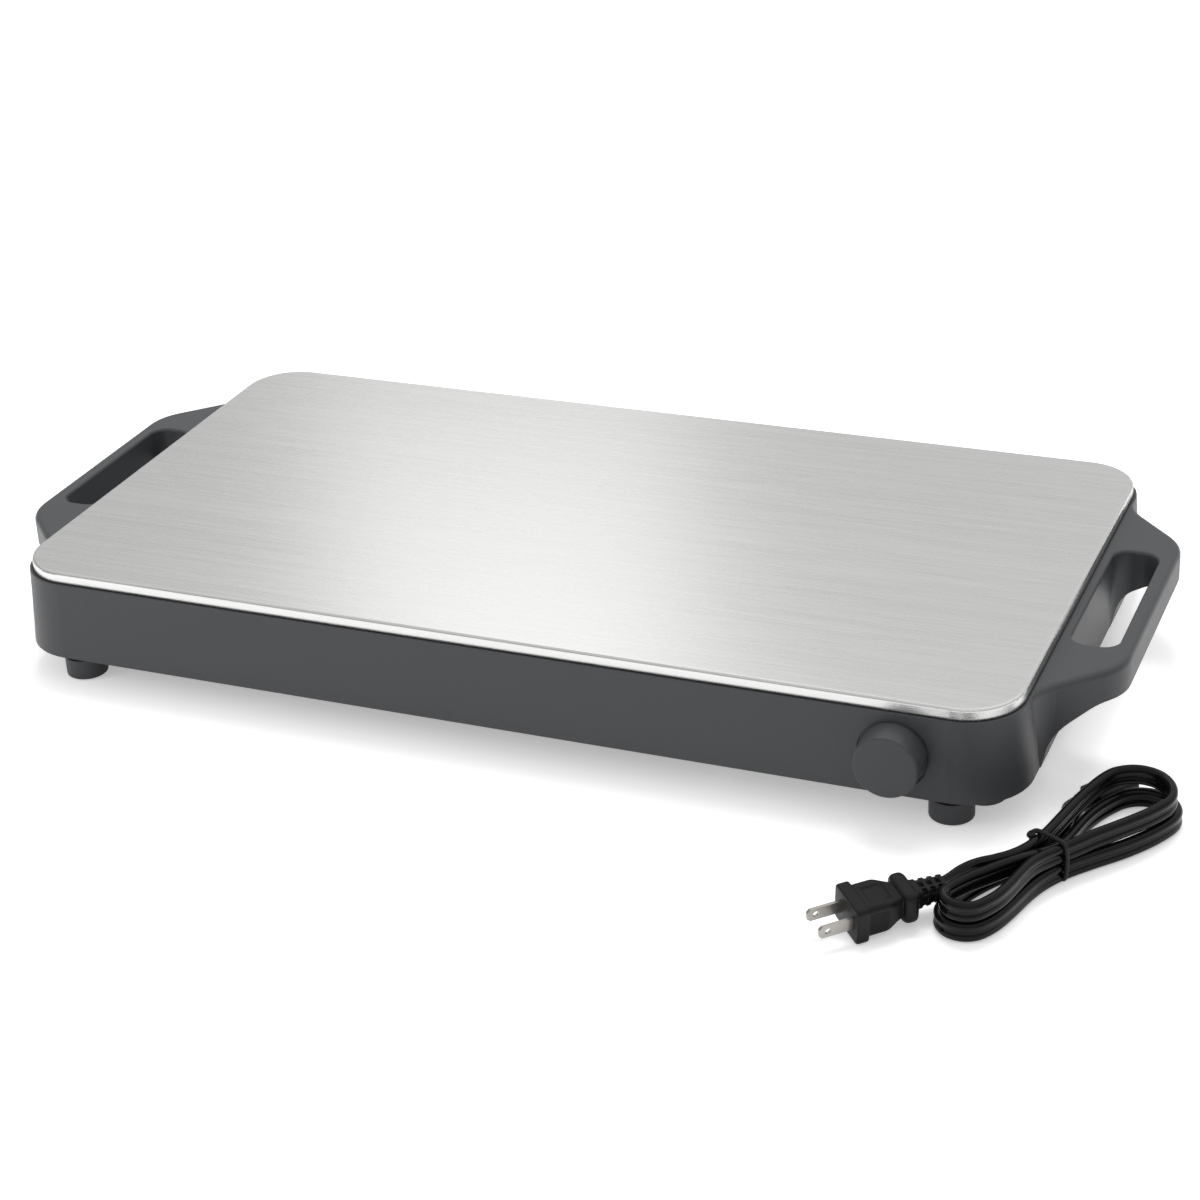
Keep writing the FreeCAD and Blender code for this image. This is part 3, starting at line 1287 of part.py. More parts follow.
def build():
    make_top_plate()
    make_gasket()
    cut_inlet_opening(make_housing())
    make_base_pan()
    make_feet()
    make_screws()
    make_plate_fixings()
    make_spreader()
    make_heating_rod()
    make_straps()
    make_reflector()
    make_thermostat()
    make_knob()
    make_inlet()
    make_wiring()
    make_plug()
    make_hank()
    make_connector()
    doc.recompute()
    for thing in doc.Objects:
        if {"Invalid", "Error"} & set(thing.State):
            raise RuntimeError("%s did not build: %s" % (thing.Label, thing.State))
    for piece in parts:
        if piece.Shape.isNull() or not piece.Shape.isValid() or not piece.Shape.Solids:
            raise RuntimeError("%s has no sound solid" % piece.Label)
    os.makedirs("parts", exist_ok=True)
    for piece in parts:
        piece.Shape.exportStep(os.path.join("parts", piece.Label + ".step"))
    print("%d pieces written" % len(parts))


build()
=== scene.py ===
import json
import math

import bmesh
import bpy
from mathutils import Euler, Matrix, Vector


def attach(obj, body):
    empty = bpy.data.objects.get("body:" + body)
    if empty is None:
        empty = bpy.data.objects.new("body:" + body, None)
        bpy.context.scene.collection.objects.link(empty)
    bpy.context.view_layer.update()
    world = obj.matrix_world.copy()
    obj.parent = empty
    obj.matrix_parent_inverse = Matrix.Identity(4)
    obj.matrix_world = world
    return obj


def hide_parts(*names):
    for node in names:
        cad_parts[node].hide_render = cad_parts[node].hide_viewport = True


# Electric food warmer tray with its tied-up lead. Metres, +Z up, +X to the user's right, -Y
# towards the user. The rigid pieces are the frame's own. The lead, its tie and the plug are
# made here from sizes in millimetres, and take the place of plain solids.

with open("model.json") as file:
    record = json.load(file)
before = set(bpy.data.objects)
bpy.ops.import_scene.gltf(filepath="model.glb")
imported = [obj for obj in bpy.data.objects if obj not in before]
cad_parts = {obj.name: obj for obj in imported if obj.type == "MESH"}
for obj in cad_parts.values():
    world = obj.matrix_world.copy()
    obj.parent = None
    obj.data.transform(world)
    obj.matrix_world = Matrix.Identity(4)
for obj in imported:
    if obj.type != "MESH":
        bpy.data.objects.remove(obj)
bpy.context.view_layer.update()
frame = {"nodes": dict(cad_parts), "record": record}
nodes = frame["nodes"]

MM = 0.001


# Small helpers

def smooth(low, high, value):
    """0 below low, 1 above high and a smooth step between."""
    share = min(1.0, max(0.0, (value - low) / (high - low)))
    return share * share * (3 - 2 * share)


def within(low, high, soft, value):
    """1 between low and high, 0 outside, with soft edges."""
    return smooth(low - soft, low + soft, value) * (1 - smooth(high - soft, high + soft, value))


def between(first, second, share):
    """Two sizes or places part of the way from the first pair to the second."""
    return [start + (stop - start) * share for start, stop in zip(first, second)]


# Camera: its place in metres, its turns about X, Y and Z in degrees, its lens in millimetres.

CAMERA_PLACE = (0.53729, -1.21272, 0.69234)
CAMERA_TURNS = (62.98158, 2.68047, 22.18776)
CAMERA_LENS = 79.193
CAMERA_SENSOR = 36.0
FARTHEST_SEEN = 60.0


def set_camera():
    view = bpy.data.cameras.new("tray_view")
    view.lens = CAMERA_LENS
    view.sensor_width = CAMERA_SENSOR
    view.clip_end = FARTHEST_SEEN
    camera = bpy.data.objects.new("tray_view", view)
    camera.location = CAMERA_PLACE
    camera.rotation_euler = Euler([math.radians(angle) for angle in CAMERA_TURNS])
    bpy.context.scene.collection.objects.link(camera)
    bpy.context.scene.camera = camera


set_camera()


# Shader maths

class Field:
    """One socket of a finish. Arithmetic on fields adds Math nodes to that finish."""

    def __init__(self, finish, socket):
        self.finish = finish
        self.socket = socket

    def maths(self, operation, *terms):
        """A Math node on the terms, as a new field."""
        return self.finish.node("ShaderNodeMath", {"operation": operation}, list(terms))

    def __add__(self, other):
        return self.maths("ADD", self, other)

    def __radd__(self, other):
        return self.maths("ADD", other, self)

    def __rsub__(self, other):
        return self.maths("SUBTRACT", other, self)

    def __mul__(self, other):
        return self.maths("MULTIPLY", self, other)

    def __truediv__(self, other):
        return self.maths("DIVIDE", self, other)

    def rise(self, low, high):
        """0 below low, 1 above high and a smooth step between."""
        return self.finish.node("ShaderNodeMapRange", {"interpolation_type": "SMOOTHSTEP"},
                                {"Value": self, "From Min": low, "From Max": high})


class Nodes:
    """A node tree whose nodes come from one method and are handed back as fields."""

    def __init__(self, tree):
        self.tree = tree

    def feed(self, socket, value):
        """Links a field to the socket, or sets the socket to a constant."""
        if isinstance(value, Field):
            self.tree.links.new(value.socket, socket)
        else:
            socket.default_value = value

    def node(self, kind, settings=None, inputs=None, output=0):
        """A node with its settings made first, then its sockets fed; given as its output field,
        if it has one."""
        made = self.tree.nodes.new(kind)
        for name, value in (settings or {}).items():
            setattr(made, name, value)
        pairs = inputs.items() if isinstance(inputs, dict) else enumerate(inputs or [])
        for key, value in pairs:
            self.feed(made.inputs[key], value)
        return Field(self, made.outputs[output]) if made.outputs else None

    def axes(self, vector):
        """The three parts of a vector."""
        return [self.node("ShaderNodeSeparateXYZ", {}, [vector], part) for part in range(3)]


class Finish(Nodes):
    """One material of the tray."""

    def __init__(self, name):
        self.material = bpy.data.materials.new(name)
        self.material.use_nodes = True
        super().__init__(self.material.node_tree)
        self.shader = self.tree.nodes["Principled BSDF"]
        self.place = self.node("ShaderNodeTexCoord", output=3)

    def noise(self, size, stretch=(1, 1, 1), detail=2.0, sharp=0.5):
        """Cloudy noise whose features are about size metres across, drawn out by stretch."""
        scale = [1 / (size * pull) for pull in stretch]
        spread = self.node("ShaderNodeVectorMath", {"operation": "MULTIPLY"}, [self.place, scale])
        return self.node("ShaderNodeTexNoise", {},
                         {"Vector": spread, "Scale": 1.0, "Detail": detail, "Roughness": sharp})

    def blend(self, share, low, high):
        """A colour between low and high."""
        return self.node("ShaderNodeMix", {"data_type": "RGBA"},
                         {0: share, 6: tinted(low), 7: tinted(high)}, 2)

    def bump(self, height, depth):
        """A normal that follows height, which is depth metres from its lowest to its highest."""
        return self.node("ShaderNodeBump", {}, {"Height": height, "Distance": depth})

    def surface(self, **sockets):
        """The material, with its shader's sockets fed by name."""
        for name, value in sockets.items():
            self.feed(self.shader.inputs[name.replace("_", " ")], value)
        return self.material


def tinted(colour):
    """A colour as a socket takes it: a field as it is, three numbers with an alpha."""
    return colour if isinstance(colour, Field) else (*colour, 1.0)


def shade(colour, factor):
    """A colour made lighter or darker."""
    return tuple(part * factor for part in colour)


# Finishes

def brushed_plate():
    """Stainless sheet, linished along the tray."""
    finish = Finish("brushed_plate")
    lines = finish.noise(0.0009, (60, 1, 1), 3.0, 0.6)
    hair = finish.noise(0.0004, (110, 1, 1), 2.0, 0.7)
    bands = finish.noise(0.007, (70, 1, 1), 2.0)
    grain = lines * 0.5 + hair * 0.5
    tone = (grain * 0.8 + bands * 0.2).rise(0.3, 0.7)
    return finish.surface(
        Base_Color=finish.blend(tone, (0.73, 0.73, 0.725), (0.82, 0.82, 0.81)),
        Metallic=1.0,
        Roughness=0.25 + tone * 0.06,
        Normal=finish.bump(grain, 0.00004),
    )


def housing_grey():
    """Moulded grey plastic with a fine spark texture."""
    finish = Finish("housing_grey")
    spark = finish.noise(0.0006, detail=2.0, sharp=0.6)
    cloud = finish.noise(0.06, detail=2.0)
    base = (0.052, 0.054, 0.058)
    return finish.surface(
        Base_Color=finish.blend(cloud * 0.6 + spark * 0.4, shade(base, 0.9), shade(base, 1.1)),
        Roughness=0.37 + cloud * 0.08,
        Specular_IOR_Level=0.42,
        Normal=finish.bump(spark, 0.00003),
    )


def moulded(name, base, roughness, grain=0.0008, depth=0.00003, level=0.5):
    """Moulded plastic or rubber."""
    finish = Finish(name)
    spark = finish.noise(grain, detail=2.0, sharp=0.6)
    cloud = finish.noise(0.02, detail=2.0)
    return finish.surface(
        Base_Color=finish.blend(cloud * 0.5 + spark * 0.5, shade(base, 0.8), shade(base, 1.25)),
        Roughness=roughness + cloud * 0.08,
        Specular_IOR_Level=level,
        Normal=finish.bump(spark, depth),
    )


def metal(name, base, roughness, stretch=(1, 1, 1), grain=0.0009, depth=0.00002):
    """Plated, rolled or turned metal, with its grain drawn out by stretch."""
    finish = Finish(name)
    lines = finish.noise(grain, stretch, 3.0, 0.6)
    cloud = finish.noise(0.015, detail=3.0)
    return finish.surface(
        Base_Color=finish.blend(lines * 0.5 + cloud * 0.5, shade(base, 0.85), shade(base, 1.1)),
        Metallic=1.0,
        Roughness=roughness + cloud * 0.12,
        Normal=finish.bump(lines, depth),
    )


def insulation_wool():
    """Loose mineral fibre."""
    finish = Finish("wool")
    tufts = finish.noise(0.004, (2, 1, 1), 5.0, 0.7)
    return finish.surface(
        Base_Color=finish.blend(tufts, (0.55, 0.51, 0.38), (0.85, 0.82, 0.72)),
        Roughness=0.95,
        Normal=finish.bump(tufts, 0.0015),
    )


def lead_cover():
    """Glossy flexible cover of the two-core lead."""
    finish = Finish("lead_cover")
    ripple = finish.noise(0.012, detail=1.0)
    scuff = finish.noise(0.003, detail=2.0, sharp=0.6)
    return finish.surface(
        Base_Color=finish.blend(scuff, (0.003, 0.003, 0.003), (0.006, 0.006, 0.006)),
        Roughness=0.09 + scuff.rise(0.45, 0.75) * 0.07,
        Specular_IOR_Level=0.2,
        Normal=finish.bump(ripple, 0.0001),
    )


FINISHES = {
    "brushed_plate": brushed_plate(),
    "housing_grey": housing_grey(),
    "black_enamel": moulded("black_enamel", (0.016, 0.016, 0.017), 0.3, 0.003, 0.00004),
    "zinc": metal("zinc", (0.60, 0.60, 0.58), 0.32),
    "aluminium_sheet": metal("aluminium_sheet", (0.78, 0.79, 0.80), 0.3, (20, 1, 1)),
    "rod_steel": metal("rod_steel", (0.34, 0.33, 0.30), 0.38, (8, 1, 1)),
    "white_ceramic": moulded("white_ceramic", (0.82, 0.80, 0.75), 0.5, 0.0015, 0.00005),
    "wool": insulation_wool(),
    "black_moulding": moulded("black_moulding", (0.014, 0.014, 0.015), 0.35),
    "brass": metal("brass", (0.72, 0.55, 0.27), 0.28),
    "plated_brass": metal("plated_brass", (0.50, 0.48, 0.45), 0.26, (1, 1, 12)),
    "wire_cover": moulded("wire_cover", (0.62, 0.60, 0.54), 0.45, 0.0005, 0.00006),
    "black_pvc": moulded("black_pvc", (0.007, 0.007, 0.007), 0.36, 0.0007, 0.00004, 0.22),
    "tie_rubber": moulded("tie_rubber", (0.009, 0.009, 0.009), 0.45, 0.0006, 0.00006, 0.3),
    "seal_rubber": moulded("seal_rubber", (0.02, 0.02, 0.02), 0.65, 0.0007, 0.00008),
}


def finish_nodes():
    """Each node of the frame takes the finish of its material slot."""
    for part in frame["record"]["subparts"]:
        for place in nodes[part["node"]].material_slots:
            place.material = FINISHES[part["material_slot"]]


finish_nodes()


# Pieces made here

def piece(name, mesh, slot, material, *replaced):
    """An object that rides on the tray's own body in place of the nodes it replaces."""
    body = bpy.data.objects.new(name, mesh)
    bpy.context.scene.collection.objects.link(body)
    if hasattr(mesh, "polygons"):
        mesh.polygons.foreach_set("use_smooth", [True] * len(mesh.polygons))
    mesh.materials.append(material)
    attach(body, "root")
    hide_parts(*replaced)
    return body


def add_spline(curve, places, closed=False):
    """A smooth line in the curve that has the places as its control points."""
    spline = curve.splines.new("NURBS")
    spline.points.add(len(places) - 1)
    for point, place in zip(spline.points, places):
        point.co = (*place, 1.0)
    spline.order_u = 3
    spline.use_cyclic_u = closed
    spline.use_endpoint_u = not closed


def skin(name, rings):
    """A mesh over rings of points that follow each other, with a flat face at each end."""
    shell = bmesh.new()
    loops = [[shell.verts.new(point) for point in ring] for ring in rings]
    for near, far in zip(loops, loops[1:]):
        for number in range(len(near)):
            after = (number + 1) % len(near)
            shell.faces.new((near[number], far[number], far[after], near[after]))
    shell.faces.new(loops[0])
    shell.faces.new(list(reversed(loops[-1])))
    bmesh.ops.recalc_face_normals(shell, faces=shell.faces)
    mesh = bpy.data.meshes.new(name)
    shell.to_mesh(mesh)
    shell.free()
    return mesh


# Lead: two cores in one flat cover, folded into two turns that stand on edge in the hank.

HANK_MIDDLE = Vector((0.306, -0.1694, 0.0))
HANK_ANGLE = math.radians(60.9)
CORE_RADIUS = 2.6
CORE_OFFSET = 2.6
CORE_ARC = 130.0
CORE_STEPS = 12
WEB_HALF = 1.6
SPLINE_STEPS = 7

# From flat at its ends the cover turns on edge over these lengths, in metres.
PLUG_TWIST = 0.042
TAIL_TWIST = 0.026

# The lead's middle line in millimetres: u along the hank, v across it towards its back, z up.
# At the tie each run passes through at u = 0; the plug lies on the side where u is below 0.
TAIL_RUN = [
    (54.0, 28.8, 4.3), (47.0, 28.4, 4.4), (40.0, 22.6, 5.0), (33.0, 17.4, 5.4), (24.0, 14.0, 5.3),
    (13.0, 10.4, 5.3), (3.0, 8.0, 5.3), (-8.0, 7.8, 5.3), (-20.0, 9.8, 5.3), (-32.0, 10.8, 5.3),
    (-44.0, 10.2, 5.3), (-56.0, 8.2, 5.3),
]
LOW_FRONT_RUN = [
    (-55.0, -16.0, 5.3), (-47.0, -15.0, 5.3), (-36.0, -12.4, 5.3), (-26.0, -9.6, 5.3),
    (-16.0, -7.6, 5.3), (-8.0, -7.0, 5.3), (0.0, -7.2, 5.3), (8.0, -8.2, 5.3),
    (21.7, -11.0, 5.3), (36.0, -14.4, 5.3), (48.0, -16.0, 5.3), (58.0, -16.6, 5.3),
]
RISING_RUN = [
    (62.0, 16.6, 5.3), (50.0, 15.8, 5.3), (38.0, 13.0, 5.3), (27.0, 9.0, 5.3), (16.0, 4.6, 6.4),
    (8.0, 2.4, 8.4), (0.0, 0.3, 10.8), (-8.0, -0.8, 13.2), (-16.0, -1.4, 15.4), (-28.0, 0.4, 16.4),
    (-40.0, 2.2, 16.4), (-50.0, 3.9, 16.4),
]
TOP_FRONT_RUN = [
    (-57.0, -15.9, 16.4), (-49.0, -15.3, 16.4), (-39.3, -12.7, 16.4), (-29.1, -9.4, 16.4),
    (-20.0, -6.9, 16.2), (-12.0, -6.2, 15.8), (-4.0, -6.6, 15.4), (4.0, -7.6, 15.3),
    (12.0, -8.9, 15.7), (20.0, -10.1, 16.2), (30.7, -12.2, 16.4), (44.9, -14.4, 16.4),
    (55.0, -15.4, 16.3),
]
PLUG_RUN = [
    (60.0, 20.2, 17.4), (48.0, 18.4, 16.8), (37.0, 16.0, 16.4), (26.6, 12.9, 16.2),
    (16.0, 9.6, 16.0), (8.0, 7.4, 15.6), (0.0, 5.5, 15.4), (-10.0, 4.0, 15.4),
    (-20.0, 4.6, 15.3), (-29.0, 7.0, 15.0), (-37.0, 10.4, 15.0), (-45.0, 12.4, 14.3),
    (-50.5, 12.4, 13.3), (-56.7, 13.5, 12.6),
]

# Control points stand at these angles round a loop's end, and their polygon is wider than the
# line that it leads.
LOOP_ANGLES = (-70, -35, 0, 35, 70)
LOOP_HALF_STEP = 17.5
LOW_LEVEL = [5.3] * 5
TOP_LEVEL = [16.4] * 5
PLUG_LEVEL = [16.8, 17.8, 18.4, 18.4, 18.0]


def in_hank(point):
    """A point in millimetres along, across and above the hank, as a place in metres."""
    u, v, z = point
    cos, sin = math.cos(HANK_ANGLE), math.sin(HANK_ANGLE)
    return HANK_MIDDLE + Vector((u * cos - v * sin, u * sin + v * cos, z)) * MM


def loop_end(side, middle_u, middle_v, radius, heights):
    """Control points round one end of the hank: back to front at the plug's side, -1, and front
    to back at the other, 1."""
    stretched = radius / math.cos(math.radians(LOOP_HALF_STEP))
    points = []
    for angle, z in zip(LOOP_ANGLES, heights):
        out = stretched * math.cos(math.radians(angle))
        across = stretched * math.sin(math.radians(angle))
        points.append((middle_u + side * out, middle_v + side * across, z))
    return points


def lead_route():
    """The lead's control points, from the connector's tail to the plug's relief."""
    route = TAIL_RUN + loop_end(-1, -59.6, -3.6, 12.0, LOW_LEVEL)
    route += LOW_FRONT_RUN + loop_end(1, 67.2, 0.0, 16.0, LOW_LEVEL)
    route += RISING_RUN + loop_end(-1, -61.3, -5.6, 9.9, TOP_LEVEL)
    route += TOP_FRONT_RUN + loop_end(1, 62.4, 2.0, 17.8, PLUG_LEVEL)
    return [in_hank(point) for point in route + PLUG_RUN]


def spline_points(name, route):
    """Places along the smooth line that has the route's points as its control points."""
    curve = bpy.data.curves.new(name, "CURVE")
    curve.dimensions = "3D"
    curve.resolution_u = SPLINE_STEPS
    add_spline(curve, route)
    holder = bpy.data.objects.new(name, curve)
    line = bpy.data.meshes.new_from_object(holder)
    places = [vertex.co.copy() for vertex in line.vertices]
    bpy.data.meshes.remove(line)
    bpy.data.objects.remove(holder)
    bpy.data.curves.remove(curve)
    return places


def lead_profile():
    """The flat cover's outline, as (across, through) pairs in millimetres."""
    outline = []
    for side in (1, -1):
        for step in range(CORE_STEPS + 1):
            angle = math.radians(CORE_ARC * (2 * step / CORE_STEPS - 1))
            outline.append((side * (CORE_OFFSET + CORE_RADIUS * math.cos(angle)),
                            side * CORE_RADIUS * math.sin(angle)))
        outline.append((0.0, side * WEB_HALF))
    return outline


def make_lead():
    """The lead over its route, and the route's line from the connector to the plug."""
    path = spline_points("lead_path", lead_route())
    run = [0.0]
    for before, here in zip(path, path[1:]):
        run.append(run[-1] + (here - before).length)
    outline = lead_profile()
    rings = []
    for number, place in enumerate(path):
        ahead = path[min(number + 1, len(path) - 1)]
        along = (ahead - path[max(number - 1, 0)]).normalized()
        upright = Vector((0, 0, 1))
        upright = (upright - along * upright.dot(along)).normalized()
        level = along.cross(upright)
        share = min((run[-1] - run[number]) / PLUG_TWIST, run[number] / TAIL_TWIST)
        turned = (1 - smooth(0, 1, share)) * math.pi / 2
        wide = upright * math.cos(turned) + level * math.sin(turned)
        thin = along.cross(wide)
        rings.append([place + (wide * w + thin * t) * MM for w, t in outline])
    lead = piece("lead", skin("lead", rings), "black_pvc", lead_cover(), "lead_hank")
    return lead, path


# Tie: a round rubber cord closed round the hank's waist, with a short curl at the back. The
# ring is across and up in millimetres, and sways along the hank.

TIE_RADIUS = 1.15
TIE_SWAY = 0.8
TIE_SWAY_STEP = 0.9
TIE_RING = [
    (-10.9, 3.2), (-10.9, 10.5), (-10.6, 16.5), (-9.6, 21.8), (0.0, 22.2), (8.4, 22.0),
    (11.0, 17.5), (11.2, 10.0), (11.2, 3.2), (8.2, 1.2), (-8.2, 1.2),
]
TIE_CURL = [
    (-0.4, 6.0, 21.9), (-2.2, 8.2, 21.6), (-4.4, 9.4, 20.2), (-4.8, 8.0, 19.8),
    (-2.6, 6.4, 21.0),
]


def make_tie():
    curve = bpy.data.curves.new("tie", "CURVE")
    curve.dimensions = "3D"
    curve.bevel_depth = TIE_RADIUS * MM
    curve.bevel_resolution = 4
    curve.resolution_u = 8
    ring = [(TIE_SWAY * math.sin(TIE_SWAY_STEP * number), v, z)
            for number, (v, z) in enumerate(TIE_RING)]
    add_spline(curve, [in_hank(point) for point in ring], closed=True)
    add_spline(curve, [in_hank(point) for point in TIE_CURL])
    return piece("tie", curve, "tie_rubber", FINISHES["tie_rubber"], "hank_tie")


# Plug: one moulding from the slotted relief to the flange that carries the blades. On it x
# runs from the relief's tail to the flange's face, y across and z up, in millimetres.

PLUG_TAIL = (0.26663, -0.21238, 0.0126)
PLUG_HEADING = 223.8
PLUG_DIP = 1.5
PLUG_ROLL = -8.0
PLUG_FRAME = (Matrix.Translation(PLUG_TAIL)
              @ Matrix.Rotation(math.radians(PLUG_HEADING), 4, "Z")
              @ (Matrix.Rotation(math.radians(PLUG_DIP), 4, "Y")
                 @ Matrix.Rotation(math.radians(PLUG_ROLL), 4, "X")))
RELIEF_END = 16.5
COLLAR_END = 24.5
GRIP_END = 43.5
PLUG_END = 50.0

# Half width and half height of each part, then the corner radius of each part.
RELIEF_TAIL = (5.1, 4.5)
RELIEF_ROOT = (6.2, 5.5)
COLLAR = (10.5, 8.25)
NECK = (7.4, 6.4)
GRIP = (10.5, 8.5)
FLANGE = (12.0, 9.75)
RELIEF_CORNER = 2.4
COLLAR_CORNER = 3.2
GRIP_CORNER = 2.6
FLANGE_CORNER = 2.2

# Exponents of the collar's swell and of the flange's rounded edge.
COLLAR_FLANK = 3.2
COLLAR_CREST = 2.2
FLANGE_ROUND = 8
FLANGE_EDGE = 0.9

# Marks in the moulding: rings of slots, a blank panel on top and ribs on both sides.
SLOT_RINGS = 3
SLOT_START = 2.0
SLOT_PITCH = 4.4
SLOT_WIDTH = 2.3
SLOT_DEPTH = 1.9
SLOT_SOFT = 0.15
PANEL_HALF = 4.9
PANEL_RUN = (29.5, 40.6)
PANEL_SOFT = 0.2
PANEL_DEPTH = 0.65
RIB_HALF = 5.6
RIB_RUN = (32.5, 42.4)
RIB_PITCH = 1.2
RIB_DEPTH = 0.4

SECTION_STEP = 0.2
FACE_STEP = 0.02
CORNER_POINTS = 8
SIDE_POINTS = 30


def plug_section(x):
    """Half width, half height and corner radius of the plug at a distance from its tail."""
    if x < RELIEF_END:
        return *between(RELIEF_TAIL, RELIEF_ROOT, x / RELIEF_END), RELIEF_CORNER
    if x < COLLAR_END:
        share = 2 * (x - RELIEF_END) / (COLLAR_END - RELIEF_END) - 1
        swell = (1 - abs(share) ** COLLAR_FLANK) ** (1 / COLLAR_CREST)
        return *between(RELIEF_ROOT if share < 0 else NECK, COLLAR, swell), COLLAR_CORNER
    if x < GRIP_END:
        return *between(NECK, GRIP, smooth(COLLAR_END - 1, COLLAR_END + 10, x)), GRIP_CORNER
    share = 2 * (x - GRIP_END) / (PLUG_END - GRIP_END) - 1
    edge = FLANGE_EDGE * (1 - (1 - abs(share) ** FLANGE_ROUND) ** 0.5)
    return FLANGE[0] - edge, FLANGE[1] - edge, FLANGE_CORNER


def on_corner(middle, radius, quarters):
    """A point on a corner's arc, so many quarter turns from straight across."""
    angle = math.radians(90 * quarters)
    return middle[0] + radius * math.cos(angle), middle[1] + radius * math.sin(angle)


def section_points(half_width, half_height, corner):
    """A rounded rectangle with the same number of points on each side and in each corner."""
    y, z = half_width - corner, half_height - corner
    middles = [(y, z), (-y, z), (-y, -z), (y, -z)]
    points = []
    for number, middle in enumerate(middles):
        for step in range(CORNER_POINTS):
            points.append(on_corner(middle, corner, number + step / CORNER_POINTS))
        start = on_corner(middle, corner, number + 1)
        stop = on_corner(middles[(number + 1) % 4], corner, number + 1)
        for step in range(SIDE_POINTS):
            points.append(between(start, stop, step / SIDE_POINTS))
    return points


def plug_dent(x, y, z, half_width, half_height):
    """How deep the relief's slots, the blank panel and the grip's ribs lie at a point."""
    around = math.atan2(z / half_height, y / half_width)
    # Eight slots round the relief, so that one faces straight up, down and to each side.
    sector = abs((around * 4 / math.pi + 0.5) % 1.0 - 0.5)
    slots = 0.0
    for number in range(SLOT_RINGS):
        start = SLOT_START + SLOT_PITCH * number
        ring = within(start, start + SLOT_WIDTH, SLOT_SOFT, x)
        slots += ring * (1 - smooth(0.30, 0.38, sector))
    top = smooth(half_height * 0.93, half_height * 0.97, z)
    panel = top * within(-PANEL_HALF, PANEL_HALF, PANEL_SOFT, y)
    panel *= within(*PANEL_RUN, PANEL_SOFT, x)
    flank = smooth(half_width * 0.93, half_width * 0.98, abs(y))
    flank *= within(-RIB_HALF, RIB_HALF, 0.4, z)
    ribs = flank * within(*RIB_RUN, 0.3, x)
    ribs *= 0.5 + 0.5 * math.cos(2 * math.pi * x / RIB_PITCH)
    return SLOT_DEPTH * min(1.0, slots), PANEL_DEPTH * panel, RIB_DEPTH * ribs


def plug_ring(x):
    """The plug's outline at a distance from its tail, in the tray's frame."""
    half_width, half_height, corner = plug_section(x)
    ring = []
    for y, z in section_points(half_width, half_height, corner):
        slot, panel, rib = plug_dent(x, y, z, half_width, half_height)
        inward = 1 - slot / math.hypot(y, z)
        spot = Vector((x, y * inward - math.copysign(rib, y), z * inward - panel)) * MM
        ring.append(PLUG_FRAME @ spot)
    return ring


def make_plug():
    stations = [number * SECTION_STEP for number in range(int(PLUG_END / SECTION_STEP))]
    rings = [plug_ring(x) for x in stations + [PLUG_END - FACE_STEP]]
    return piece("plug", skin("plug", rings), "black_pvc", FINISHES["black_pvc"], "plug_body")


# Floor and light

FLOOR_PAINT = (0.85, 0.85, 0.85, 1.0)
FLOOR_LIFT = 0.39
FLOOR_MIRRORED = 0.2
FLOOR_REACH = 14
FLOOR_DROP = 0.0001
ROOM_LEVEL = 0.36
ROOM_RIGHT = 0.12
ROOM_BACK = 0.16
ROOM_TOP = 0.3

# Soft lamps: name, place, what it is aimed at, width, height, watts, and whether the tray's
# shine shows it.
LAMPS = [
    ("overhead", (-0.1, 0.5, 2.2), (0, 0, 0), 1.0, 0.8, 20, False),
    ("front_left", (-1.55, -1.2, 0.9), (-0.05, 0, 0), 0.8, 0.7, 10.3, False),
    ("back_right", (0.75, 1.39, 1.52), (0.32, -0.15, 0), 0.5, 0.32, 7, False),
    ("back_strip", (-0.62, 1.2, 1.2), (0, 0, 0.07), 0.46, 1.2, 1.2, True),
]


def empty_nodes(tree):
    """A node tree cleared for a floor or a world."""
    for node in list(tree.nodes):
        tree.nodes.remove(node)
    return Nodes(tree)


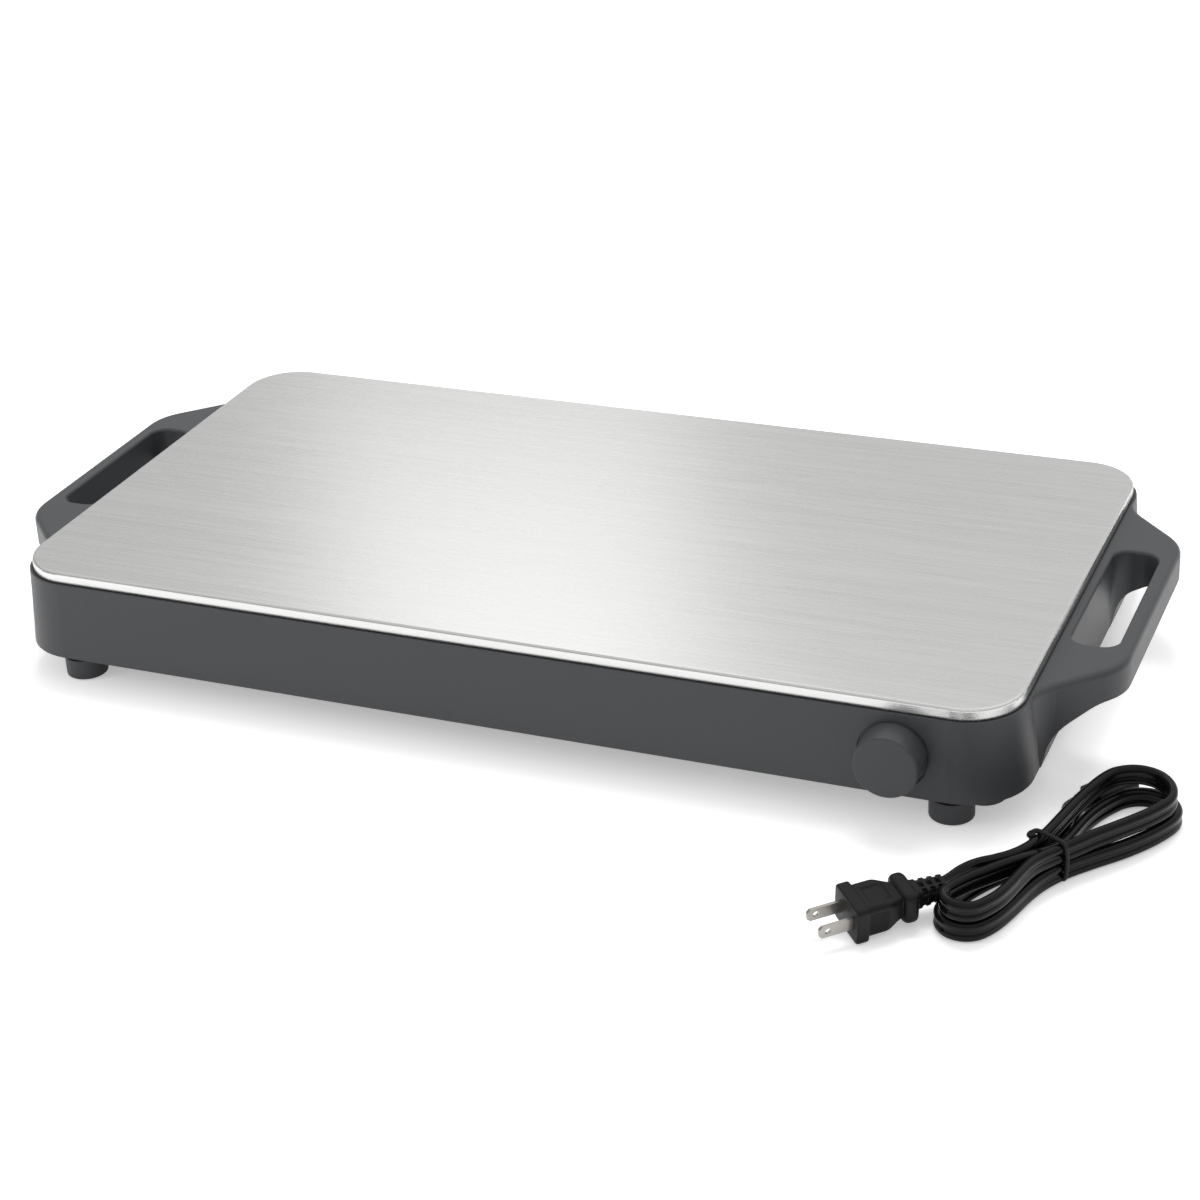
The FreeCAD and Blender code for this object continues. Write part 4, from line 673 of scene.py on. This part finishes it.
def make_floor():
    """A pale floor that stays white to the camera except in the tray's own shadow."""
    paint = bpy.data.materials.new("pale_floor")
    paint.use_nodes = True
    ground = empty_nodes(paint.node_tree)
    seen = ground.node("ShaderNodeLightPath", output=0)
    mirrored = ground.node("ShaderNodeLightPath", output=3)
    matt = ground.node("ShaderNodeBsdfDiffuse", {}, {"Color": FLOOR_PAINT})
    glow = seen * FLOOR_LIFT + mirrored * FLOOR_MIRRORED
    lift = ground.node("ShaderNodeEmission", {}, {"Strength": glow})
    both = ground.node("ShaderNodeAddShader", {}, [matt, lift])
    ground.node("ShaderNodeOutputMaterial", {}, {"Surface": both})
    mesh = bpy.data.meshes.new("floor")
    signs = ((-1, -1), (1, -1), (1, 1), (-1, 1))
    corners = [(FLOOR_REACH * x, FLOOR_REACH * y, 0) for x, y in signs]
    mesh.from_pydata(corners, [], [(0, 1, 2, 3)])
    mesh.materials.append(paint)
    floor = bpy.data.objects.new("floor", mesh)
    floor.location.z = -FLOOR_DROP
    bpy.context.scene.collection.objects.link(floor)


def light_room():
    """A pale room, lighter to the right, the back and the top, that the camera sees as white."""
    world = bpy.data.worlds.new("pale_room")
    bpy.context.scene.world = world
    world.use_nodes = True
    room = empty_nodes(world.node_tree)
    towards = room.node("ShaderNodeTexCoord", output=0)
    x, y, z = room.axes(towards)
    level = room.node("ShaderNodeMath", {"operation": "SQRT"}, [x * x + y * y + 0.0001])
    right = (x / level).rise(-0.6, 0.2)
    back = (y / level).rise(0.1, 0.9)
    top = z.rise(0.36, 0.66)
    strength = ROOM_LEVEL + right * ROOM_RIGHT + back * ROOM_BACK + top * ROOM_TOP
    seen = room.node("ShaderNodeLightPath", output=0)
    total = strength * (1 - seen) + seen
    room_light = room.node("ShaderNodeBackground", {}, {"Color": (1, 1, 1, 1), "Strength": total})
    room.node("ShaderNodeOutputWorld", {}, {"Surface": room_light})


def soft_lamp(name, place, aim, width, height, power, mirrored):
    """An area lamp; one that isn't mirrored lights the tray but shows in no shine on it."""
    lamp = bpy.data.lights.new(name, "AREA")
    lamp.shape = "RECTANGLE"
    lamp.size = width
    lamp.size_y = height
    lamp.energy = power
    holder = bpy.data.objects.new(name, lamp)
    holder.location = place
    holder.rotation_euler = (Vector(aim) - Vector(place)).to_track_quat("-Z", "Y").to_euler()
    holder.visible_camera = False
    holder.visible_glossy = mirrored
    bpy.context.scene.collection.objects.link(holder)


make_floor()
light_room()
for lamp_facts in LAMPS:
    soft_lamp(*lamp_facts)

bpy.context.scene.view_settings.view_transform = "Standard"

plug = make_plug()
tie = make_tie()
lead, lead_path = make_lead()
in_hank(TAIL_RUN[0])
